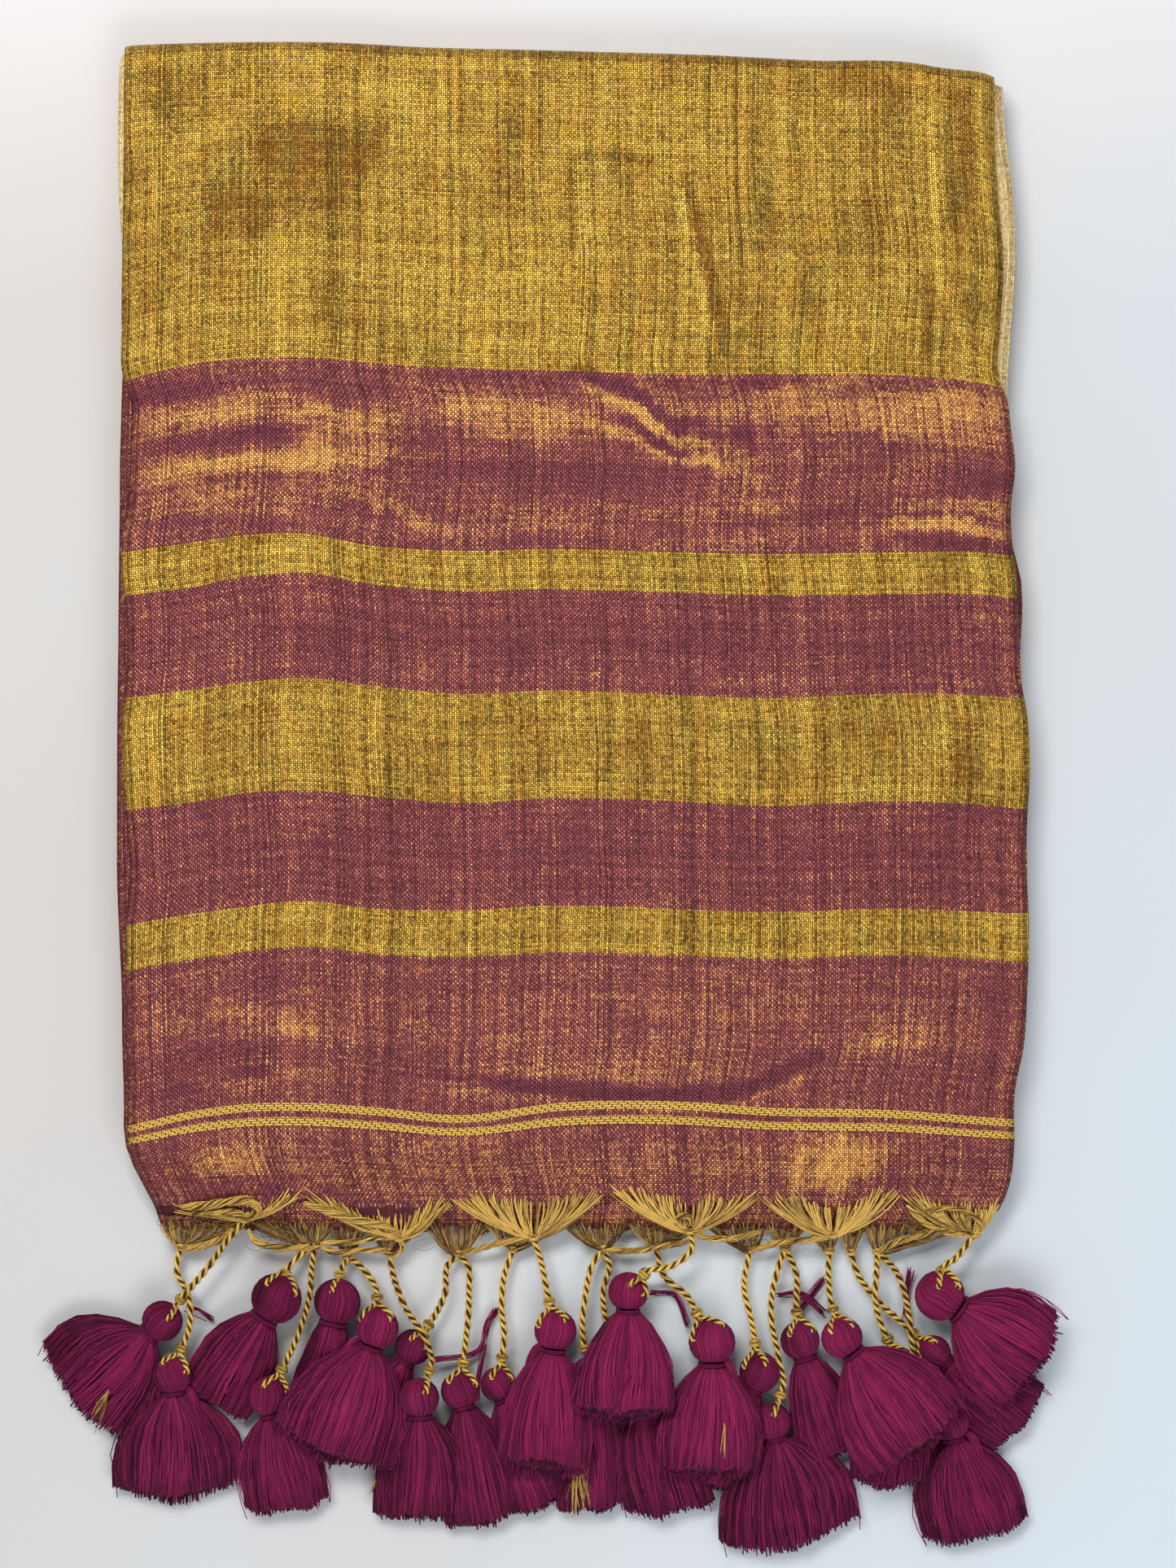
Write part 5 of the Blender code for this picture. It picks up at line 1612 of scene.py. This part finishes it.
def cotton_tassel(index, material):
    """One tassel: ball head wound with thread, bound neck and a skirt of cut threads."""
    random = np.random.default_rng(100 + index)
    strands = Strands()
    tassel = Tassel(index)
    wound_head(strands, tassel, random)
    bound_neck(strands, tassel)
    skirt = Skirt(tassel, random.uniform(-2.5, 2.5))
    end = skirt_core(strands, tassel, skirt)
    cut_end(strands, tassel, end, random)
    skirt_threads(strands, tassel, skirt, random)
    side_strays(strands, tassel, skirt, random)
    if index in SHOULDER_LOOPS:
        shoulder_loop(strands, tassel, SHOULDER_LOOPS[index], random)
    for owner, route in TIE_THREADS:
        if owner == index:
            tie_thread(strands, route, random)
    return strands.piece("cotton_" + tassel.node, material, "wine_cotton", [tassel.node])


class Recipe:
    """Node tree of one material, built a step at a time; each step gives the socket with its result."""

    def __init__(self, name):
        self.material = bpy.data.materials.new(name)
        self.material.use_nodes = True
        self.tree = self.material.node_tree
        self.shader = self.tree.nodes["Principled BSDF"]

    def node(self, kind, **settings):
        made = self.tree.nodes.new(kind)
        for name, value in settings.items():
            setattr(made, name, value)
        return made

    def put(self, socket, value):
        """Link or plain value into a socket."""
        if isinstance(value, bpy.types.NodeSocket):
            self.tree.links.new(value, socket)
        else:
            socket.default_value = value

    def set(self, values):
        """Plain values of the shader, by name."""
        for name, value in values.items():
            self.shader.inputs[name].default_value = value

    def math(self, operation, first, second=0.0, third=0.0, clamp=False):
        made = self.node("ShaderNodeMath", operation=operation, use_clamp=clamp)
        for socket, value in zip(made.inputs, (first, second, third)):
            self.put(socket, value)
        return made.outputs[0]

    def times(self, first, second, clamp=False):
        return self.math("MULTIPLY", first, second, clamp=clamp)

    def sway(self, base, pattern, amount, shift=None, clamp=False):
        """Number raised and lowered by a pattern that runs from 0 to 1."""
        shift = -amount / 2.0 if shift is None else shift
        return self.math("ADD", base, self.math("MULTIPLY_ADD", pattern, amount, shift), clamp=clamp)

    def wave(self, number):
        """Sine wave that crosses zero at each whole number."""
        return self.math("SINE", self.times(number, math.pi))

    def mix(self, share, low, high):
        made = self.node("ShaderNodeMix", data_type="RGBA")
        self.put(made.inputs[0], share)
        for socket, value in ((made.inputs[6], low), (made.inputs[7], high)):
            self.put(socket, value if isinstance(value, bpy.types.NodeSocket) else (*value, 1.0))
        return made.outputs[2]

    def blend(self, share, low, high):
        made = self.node("ShaderNodeMix", data_type="FLOAT")
        for socket, value in zip((made.inputs[0], made.inputs[2], made.inputs[3]), (share, low, high)):
            self.put(socket, value)
        return made.outputs[0]

    def joined(self, x, y, z=0.0):
        made = self.node("ShaderNodeCombineXYZ")
        for socket, value in zip(made.inputs, (x, y, z)):
            self.put(socket, value)
        return made.outputs[0]

    def parts(self, vector):
        made = self.node("ShaderNodeSeparateXYZ")
        self.put(made.inputs[0], vector)
        return made.outputs

    def place(self):
        """Place on the piece in metres."""
        return self.node("ShaderNodeTexCoord").outputs["Object"]

    def map(self, name):
        """Place on the piece's own map."""
        return self.node("ShaderNodeUVMap", uv_map=name).outputs[0]

    def noise(self, vector, scale, detail=2.0, rough=0.5):
        """Soft random pattern from 0 to 1."""
        made = self.node("ShaderNodeTexNoise")
        self.put(made.inputs["Vector"], vector)
        made.inputs["Scale"].default_value = scale
        made.inputs["Detail"].default_value = detail
        made.inputs["Roughness"].default_value = rough
        return made.outputs["Fac"]

    def chance(self, number):
        """Random number from 0 to 1 for each whole number."""
        made = self.node("ShaderNodeTexWhiteNoise", noise_dimensions="1D")
        self.put(made.inputs["W"], self.math("FLOOR", number))
        return made.outputs["Value"]

    def attribute(self, name):
        """Number stored at each point of the piece."""
        return self.node("ShaderNodeAttribute", attribute_name=name).outputs["Fac"]

    def fibres(self, around, along, phase=None):
        """Fibres aslant round a strand, 0 in their grooves: how many in one turn and in one millimetre."""
        lay = self.parts(self.map("lay"))
        slant = self.math("ADD", self.times(lay[0], around), self.times(lay[1], along))
        if phase is not None:
            slant = self.math("MULTIPLY_ADD", phase, STRAND_PHASE, slant)
        return self.math("ABSOLUTE", self.wave(slant))

    def bump(self, height, distance, strength):
        """Relief of the surface, its distance in millimetres."""
        made = self.node("ShaderNodeBump")
        made.inputs["Strength"].default_value = strength
        made.inputs["Distance"].default_value = distance * MM
        self.put(made.inputs["Height"], height)
        self.put(self.shader.inputs["Normal"], made.outputs[0])

    def finish(self, colour, roughness, metallic):
        self.put(self.shader.inputs["Base Color"], colour)
        self.put(self.shader.inputs["Roughness"], roughness)
        self.put(self.shader.inputs["Metallic"], metallic)
        return self.material


# Colours of the threads. The glint colours are painted highlights where the metal warp catches the light, the
# turned colours painted shade where the cloth turns away from it, the gap colours painted shade between the
# woven threads, and the cotton groove colour painted shade in the grooves of its twist
ZARI_BRIGHT = (1.0, 0.59, 0.085)
ZARI_BRIGHT_LEMON = (1.0, 0.75, 0.13)
ZARI_DEEP = (0.34, 0.145, 0.02)
ZARI_DEEP_OLIVE = (0.26, 0.175, 0.033)
ZARI_ON_WINE = (0.56, 0.19, 0.125)
ZARI_SHADE = (0.30, 0.078, 0.085)
ZARI_GLINT = (1.0, 0.62, 0.15)
ZARI_TURNED_SHADE = (0.29, 0.085, 0.095)
ZARI_WEFT = (0.85, 0.50, 0.09)
WINE_GLINT = (0.80, 0.33, 0.08)
GAP_GLINT = (0.26, 0.07, 0.03)
WINE_TURNED_SHADE = (0.12, 0.015, 0.033)
WINE_WARM = (0.215, 0.036, 0.038)
WINE_COOL = (0.15, 0.024, 0.05)
GAP_GOLD = (0.085, 0.033, 0.003)
GAP_WINE = (0.075, 0.011, 0.018)
CREASE_SHADE_COLOUR = (0.09, 0.04, 0.008)
LINE_GOLD = (0.85, 0.55, 0.10)
LINE_GAP = (0.10, 0.035, 0.012)
PALE_THREAD = (1.0, 0.80, 0.44)
PALE_DEEP = (0.92, 0.68, 0.30)
PALE_WEFT = (1.0, 0.80, 0.45)
PALE_WEFT_DEEP = (0.82, 0.61, 0.30)
PALE_GAP = (0.72, 0.47, 0.16)
FOLD_WINE = (0.36, 0.085, 0.06)
FOLD_GOLD = (0.90, 0.55, 0.13)
FOLD_GAP = (0.16, 0.07, 0.03)
COTTON_DEEP = (0.038, 0.001, 0.012)
COTTON_BRIGHT = (0.38, 0.02, 0.122)
COTTON_GROOVE = (0.045, 0.002, 0.014)
COTTON_NAP = (0.95, 0.2, 0.5, 1.0)
ZARI_NAP = (1.0, 0.66, 0.18, 1.0)

# Patterns in the cloth: how finely each runs across and along it, scale, detail, roughness
PATTERNS = {
    "streak": (1.0, 0.03, 0.9, 3.0, 0.6),
    "slub": (0.05, 1.0, 0.9, 3.0, 0.6),
    "teeth": (1.0, 0.05, 1.3, 2.0, 0.6),
    "grain": (1.3, 0.6, 1.0, 3.0, 0.75),
    "weft grain": (0.4, 1.2, 0.9, 2.0, 0.6),
    "warp streak": (1.0, 0.12, 0.55, 3.0, 0.6),
    "hue": (1.0, 0.35, 0.16, 4.0, 0.65),
}

# The weave: how far its warp drifts, how sharply one thread gives way to the next, how full each thread
# looks, how deep its grain goes, and how far the painted light and shade of the glow lighten it
WARP_DRIFT = 1.6
THREAD_EDGE = 4.0
BEAD_FULLNESS = 0.75
GRAIN_DEPTH = 1.15
LEAST_LIGHT = 0.35
GLOW_LIGHT = 0.62
DARK_ENDS = 0.12
DARK_END_SHADE = -0.1

# Gold lines: length of one dash, its step from pick to pick, how much of it is gold, and how round a
# pick has to be to show
DASH_LENGTH = 3.1
DASH_STEP = 0.37
DASH_SHARE = 0.84
DASH_PICK = 0.45

# How strongly the painted line of shade along the hidden edge shows, and how metallic gold and pale threads
# are
CREASE_SHADE_STRENGTH = 0.75
GOLD_METAL = 0.7
PALE_METAL = 0.08

# How far one strand's fibres are set off from the next for one unit of tone
STRAND_PHASE = 37.0


class Weave(Recipe):
    """Plain weave laid out by the cloth's own weave map, with the patterns that its colours share."""

    def __init__(self, name):
        super().__init__(name)
        self.lay = self.map("weave")
        self.across, self.along, _ = self.parts(self.lay)
        drift = self.noise(self.lay, 0.05, 1.0)
        drifted = self.math("ADD", self.across, self.times(drift, WARP_DRIFT))
        self.ends = self.math("DIVIDE", drifted, THREAD_PITCH)
        self.picks = self.math("DIVIDE", self.along, THREAD_PITCH)
        self.pick_round = self.wave(self.picks)
        over = self.times(self.wave(self.ends), self.pick_round)
        self.warp_up = self.math("MULTIPLY_ADD", over, THREAD_EDGE, 0.5, clamp=True)
        self.bead = self.math("POWER", self.math("ABSOLUTE", over), BEAD_FULLNESS)
        self.glow = self.attribute("glow")
        self.streak = self.pattern("streak")
        self.slub = self.pattern("slub")
        self.teeth = self.pattern("teeth")
        self.warp_streak = self.pattern("warp streak")
        self.thread_tone = self.tone_of_threads()
        # How light each thread shows: its own tone, with the painted light and shade of the glow
        self.fine = self.math("ADD", self.light(), self.times(self.thread_tone, 0.5), clamp=True)

    def pattern(self, name):
        across, along, scale, detail, rough = PATTERNS[name]
        place = self.joined(self.times(self.across, across), self.times(self.along, along))
        return self.noise(place, scale, detail, rough)

    def tone_of_threads(self):
        """How light each end, pick and bead of thread is, about 0."""
        end_tone = self.chance(self.ends)
        bead_tone = self.node("ShaderNodeTexWhiteNoise", noise_dimensions="2D")
        bead = self.joined(self.math("FLOOR", self.ends), self.math("FLOOR", self.picks))
        self.put(bead_tone.inputs["Vector"], bead)
        tone = self.sway(self.math("MULTIPLY_ADD", end_tone, 0.34, -0.17), self.chance(self.picks), 0.24)
        tone = self.sway(tone, bead_tone.outputs["Value"], 0.5)
        tone = self.sway(tone, self.streak, 0.8)
        tone = self.math("ADD", tone, self.times(self.math("LESS_THAN", end_tone, DARK_ENDS), DARK_END_SHADE))
        tone = self.sway(tone, self.pattern("grain"), 1.9, -0.93)
        tone = self.sway(tone, self.pattern("weft grain"), 0.6)
        return self.sway(tone, self.slub, 0.2)

    def light(self):
        """How light the cloth is, from 0 to 1: broad patches and streaks of its own tone, with the painted
        light and shade of the glow.
        """
        patch = self.math("SUBTRACT", self.noise(self.lay, 0.05, 3.0, 0.55), 0.5)
        light = self.math("MULTIPLY_ADD", patch, 0.9, 0.5)
        light = self.sway(light, self.noise(self.lay, 0.22, 2.0, 0.5), 0.5)
        light = self.sway(light, self.warp_streak, 0.7)
        return self.math("ADD", light, self.times(self.glow, GLOW_LIGHT), clamp=True)

    def gold_share(self):
        """1 in the bands of gold weft and 0 between them, with a slightly uneven edge."""
        edge = self.sway(self.along, self.slub, 0.8)
        gold = 0.0
        for low, high in GOLD_BANDS:
            inside = self.math("COMPARE", edge, (low + high) / 2.0, (high - low) / 2.0)
            gold = self.math("MAXIMUM", gold, inside)
        return gold

    def add_lines(self, colour):
        """Colour with the pair of dashed gold lines, and the painted line of shade where the hidden edge
        prints through.
        """
        line = 0.0
        for middle in GOLD_LINES:
            line = self.math("MAXIMUM", line, self.math("COMPARE", self.along, middle, GOLD_LINE_HALF_WIDTH))
        step = self.times(self.math("FLOOR", self.picks), DASH_STEP)
        dash = self.math("FRACT", self.math("ADD", self.math("DIVIDE", self.across, DASH_LENGTH), step))
        full = self.math("GREATER_THAN", self.math("ABSOLUTE", self.pick_round), DASH_PICK)
        dash = self.times(self.times(self.math("LESS_THAN", dash, DASH_SHARE), full), line)
        colour = self.mix(line, colour, self.mix(dash, LINE_GAP, LINE_GOLD))
        wander = self.noise(self.joined(0.0, self.along), 0.06, 1.0)
        crease_shade_at = self.math("MULTIPLY_ADD", wander, 1.6, CREASE_SHADE_ACROSS)
        crease_shade = self.math("COMPARE", self.across, crease_shade_at, CREASE_SHADE_HALF_WIDTH)
        crease_shade = self.times(crease_shade, self.math("GREATER_THAN", self.along, CREASE_SHADE_START))
        return self.mix(self.times(crease_shade, CREASE_SHADE_STRENGTH), colour, CREASE_SHADE_COLOUR)

    def pale_threads(self):
        """The same for the pale selvedge."""
        warp = self.mix(self.fine, PALE_DEEP, PALE_THREAD)
        weft = self.mix(self.fine, PALE_WEFT_DEEP, PALE_WEFT)
        return warp, weft, PALE_GAP, PALE_METAL

    def shot_threads(self, gold):
        """Colours of gold warp, gold or wine weft and the gaps between, with painted glints and painted shade
        from the glow, and how metallic they are.
        """
        toothed = self.math("MULTIPLY_ADD", self.teeth, 7.0, self.along)
        ragged = self.noise(self.joined(self.times(self.across, 0.2), toothed), 0.3, 5.0, 0.72)
        # Painted glints: where the metal warp catches the light, from the glow with ragged edges and each
        # thread's tone
        caught = self.sway(self.times(self.glow, GLOW_LIGHT), ragged, 1.2, -0.72)
        caught = self.sway(caught, self.warp_streak, 0.6)
        caught = self.sway(caught, self.teeth, 0.5)
        caught = self.math("ADD", caught, self.times(self.thread_tone, 0.72))
        shine = self.times(caught, 1.1, clamp=True)
        # Painted shade where the cloth turns away from the light
        dull = self.sway(self.math("ADD", self.glow, 0.2), ragged, 1.2)
        turned = self.times(dull, -1.7, clamp=True)

        lemon = self.math("MULTIPLY_ADD", self.pattern("hue"), 3.4, -1.2, clamp=True)
        zari_deep = self.mix(lemon, ZARI_DEEP, ZARI_DEEP_OLIVE)
        zari_bright = self.mix(lemon, ZARI_BRIGHT, ZARI_BRIGHT_LEMON)
        warp_gold = self.mix(self.fine, zari_deep, zari_bright)
        warp_wine = self.mix(shine, self.mix(self.fine, ZARI_SHADE, ZARI_ON_WINE), ZARI_GLINT)
        warp_wine = self.mix(turned, warp_wine, ZARI_TURNED_SHADE)
        weft_wine = self.mix(turned, self.mix(self.fine, WINE_COOL, WINE_WARM), WINE_TURNED_SHADE)
        weft_wine = self.mix(self.times(shine, 0.85), weft_wine, WINE_GLINT)
        weft_gold = self.mix(self.fine, zari_deep, ZARI_WEFT)
        warp = self.mix(gold, warp_wine, warp_gold)
        weft = self.mix(gold, weft_wine, weft_gold)
        gap = self.mix(gold, self.mix(shine, GAP_WINE, GAP_GLINT), GAP_GOLD)
        metal = self.math("MAXIMUM", self.times(self.warp_up, GOLD_METAL), self.times(gold, GOLD_METAL))
        return warp, weft, gap, metal

    def grained(self, thread):
        """Colour of a thread, lighter and darker with its tone."""
        made = self.node("ShaderNodeVectorMath", operation="SCALE")
        grain = self.math("MULTIPLY_ADD", self.thread_tone, GRAIN_DEPTH, 1.0)
        self.put(made.inputs[0], thread)
        self.put(made.inputs["Scale"], self.math("MAXIMUM", grain, LEAST_LIGHT))
        return made.outputs[0]


def woven_cloth(name, banded=False, pale=False):
    """Cloth of gold warp with gold or wine weft; banded with the pallu's gold bands, or all pale."""
    weave = Weave(name)
    if pale:
        warp, weft, gap, metal = weave.pale_threads()
    else:
        warp, weft, gap, metal = weave.shot_threads(weave.gold_share() if banded else 0.0)
    thread = weave.grained(weave.mix(weave.warp_up, weft, warp))
    # Painted shade in the gaps between the woven threads
    fullness = weave.math("MULTIPLY_ADD", weave.bead, 1.5, -0.08, clamp=True)
    colour = weave.mix(fullness, gap, thread)
    if banded:
        colour = weave.add_lines(colour)
    height = weave.math("ADD", weave.times(weave.bead, 0.5), weave.times(weave.streak, 0.5))
    weave.bump(height, 0.35, 0.6)
    weave.set({"Specular IOR Level": 0.25})
    return weave.finish(colour, weave.blend(weave.warp_up, 0.62, 0.42), metal)


def stack_cloth():
    """Cloth of the hidden layers, each fold's edge in its own mix of gold and wine."""
    recipe = Recipe("folded_cloth")
    place = recipe.place()
    grain = recipe.noise(place, 900.0)
    share = recipe.sway(recipe.attribute("glow"), recipe.noise(place, 40.0), 0.6, clamp=True)
    colour = recipe.mix(share, FOLD_WINE, FOLD_GOLD)
    colour = recipe.mix(recipe.math("MULTIPLY_ADD", grain, 1.6, -0.4, clamp=True), FOLD_GAP, colour)
    recipe.bump(grain, 0.3, 0.5)
    return recipe.finish(colour, 0.5, 0.5)


def gold_thread(name, dull, bright, groove, groove_depth, rough, metal, nap):
    """Gold zari: fine fibres that run aslant round each strand, with painted shade in the grooves between
    them.
    """
    recipe = Recipe(name)
    fibre = recipe.fibres(around=5.0, along=1.1)
    tone = recipe.math("MULTIPLY_ADD", recipe.attribute("tone"), 0.9, -0.15)
    share = recipe.sway(tone, recipe.noise(recipe.place(), 300.0), 0.7, -0.3, clamp=True)
    colour = recipe.mix(share, dull, bright)
    raised = recipe.math("MULTIPLY_ADD", fibre, groove_depth, 1.0 - groove_depth, clamp=True)
    colour = recipe.mix(raised, groove, colour)
    recipe.bump(fibre, 0.12, 0.7)
    recipe.put(recipe.shader.inputs["Sheen Weight"], recipe.times(share, nap))
    recipe.set({"Sheen Roughness": 0.4, "Sheen Tint": ZARI_NAP})
    return recipe.finish(colour, rough, metal)


def wine_cotton():
    """Soft wine cotton thread, each strand in its own tone."""
    recipe = Recipe("wine_cotton_thread")
    tone = recipe.attribute("tone")
    twist = recipe.fibres(around=2.0, along=0.8, phase=tone)
    share = recipe.sway(tone, recipe.noise(recipe.place(), 180.0), 0.4, clamp=True)
    colour = recipe.mix(share, COTTON_DEEP, COTTON_BRIGHT)
    # Painted shade in the grooves of the twist
    colour = recipe.mix(recipe.math("MULTIPLY_ADD", twist, 0.5, 0.65, clamp=True), COTTON_GROOVE, colour)
    recipe.set({"Sheen Weight": 0.2, "Sheen Roughness": 0.45, "Sheen Tint": COTTON_NAP})
    recipe.set({"Specular IOR Level": 0.15})
    recipe.bump(twist, 0.1, 0.6)
    return recipe.finish(colour, 0.7, 0.0)


# Surface under the saree: half its width in metres, its colours, and the painted light that brightens it far
# away
SURFACE_REACH = 3.0
SURFACE_WARM = (0.675, 0.625, 0.585)
SURFACE_COOL = (0.67, 0.757, 0.822)
SURFACE_FAR_LIGHT = (0.885, 0.885, 0.91)


def surface():
    """Pale surface under the saree: warm at its left, cool at its right and near sides, with painted light
    that brightens it far away.
    """
    mesh = bpy.data.meshes.new("surface")
    corners = [(x * SURFACE_REACH, y * SURFACE_REACH, 0.0) for x, y in ((-1, -1), (1, -1), (1, 1), (-1, 1))]
    mesh.from_pydata(corners, [], [(0, 1, 2, 3)])
    floor = bpy.data.objects.new("surface", mesh)
    bpy.context.scene.collection.objects.link(floor)
    recipe = Recipe("pale_surface")
    place = recipe.place()
    across, along, _ = recipe.parts(place)
    cool = recipe.math("MULTIPLY_ADD", across, 1.6, 0.45)
    cool = recipe.math("ADD", cool, recipe.times(along, -0.9))
    cool = recipe.sway(cool, recipe.noise(place, 5.0), 0.8, clamp=True)
    colour = recipe.mix(cool, SURFACE_WARM, SURFACE_COOL)
    # Painted light: the surface brightens far away, towards the window
    far = recipe.math("MULTIPLY_ADD", along, 6.0, -0.95, clamp=True)
    colour = recipe.mix(far, colour, SURFACE_FAR_LIGHT)
    recipe.bump(recipe.noise(place, 500.0), 0.1, 0.15)
    mesh.materials.append(recipe.finish(colour, 0.7, 0.0))


def lamp(name, position, target, size, power, colour):
    """Soft square light aimed at a point, in metres and watts."""
    data = bpy.data.lights.new(name, "AREA")
    data.shape = "RECTANGLE"
    data.size, data.size_y = size
    data.energy = power
    data.color = colour
    made = bpy.data.objects.new(name, data)
    made.location = position
    made.rotation_euler = (Vector(target) - Vector(position)).to_track_quat("-Z", "Y").to_euler()
    bpy.context.scene.collection.objects.link(made)


SKY_COLOUR = (0.93, 0.96, 1.0, 1.0)
SKY_STRENGTH = 0.34


def studio():
    """Camera straight overhead, a soft window light from the far side and a pale sky."""
    scene = bpy.context.scene
    data = bpy.data.cameras.new("overhead")
    data.lens = LENS
    data.sensor_width = SENSOR
    camera = bpy.data.objects.new("overhead", data)
    height = VIEW_PLANE + VIEW_HEIGHT * LENS / SENSOR
    camera.location = (VIEW_MIDDLE[0] * MM, VIEW_MIDDLE[1] * MM, height * MM)
    scene.collection.objects.link(camera)
    scene.camera = camera

    world = bpy.data.worlds.new("pale_room")
    world.use_nodes = True
    background = world.node_tree.nodes["Background"]
    background.inputs["Color"].default_value = SKY_COLOUR
    background.inputs["Strength"].default_value = SKY_STRENGTH
    scene.world = world
    scene.view_settings.view_transform = "Standard"
    lamp("window", (-0.4, 0.85, 1.4), (0.0, 0.02, 0.0), (1.0, 0.5), 19.5, (1.0, 0.98, 0.95))
    lamp("fill", (0.35, -1.0, 1.1), (0.0, -0.1, 0.0), (1.2, 0.7), 8.5, (0.97, 0.97, 1.0))


studio()
surface()

face = pallu_face(woven_cloth("gold_and_wine_weave", banded=True))
under = level_sheet(
    "under_cloth", "under_pallu", SIDE_EDGES, column=3, near_end=UNDER_NEAR_END, top=UNDER_TOP,
    setback=UNDER_SETBACK, steps=(90, 58), wall=UNDER_WALL,
    material=woven_cloth("wine_weave"), droops=True,
)
selvedge = level_sheet(
    "selvedge_cloth", "selvedge_layer", PALE_EDGES, column=1, near_end=PALE_NEAR_END, top=PALE_TOP,
    setback=PALE_SETBACK, steps=(36, 56), wall=PALE_WALL,
    material=woven_cloth("pale_weave", pale=True), droops=False,
)
stack = folded_layers(stack_cloth())
warp_ends = gold_thread(
    "gold_warp_ends",
    dull=(0.13, 0.045, 0.007),
    bright=(1.0, 0.62, 0.125),
    groove=(0.09, 0.03, 0.005),
    groove_depth=0.12,
    rough=0.35,
    metal=0.05,
    nap=1.0,
)
zari_cord = gold_thread(
    "gold_zari_cord",
    dull=(0.075, 0.028, 0.004),
    bright=(1.0, 0.63, 0.11),
    groove=(0.04, 0.014, 0.002),
    groove_depth=0.45,
    rough=0.3,
    metal=0.18,
    nap=0.5,
)
front_fringe, back_fringe = fringe_pieces(warp_ends)
tassel_cords(zari_cord)
cotton = wine_cotton()
for index in range(len(TASSELS)):
    cotton_tassel(index, cotton)
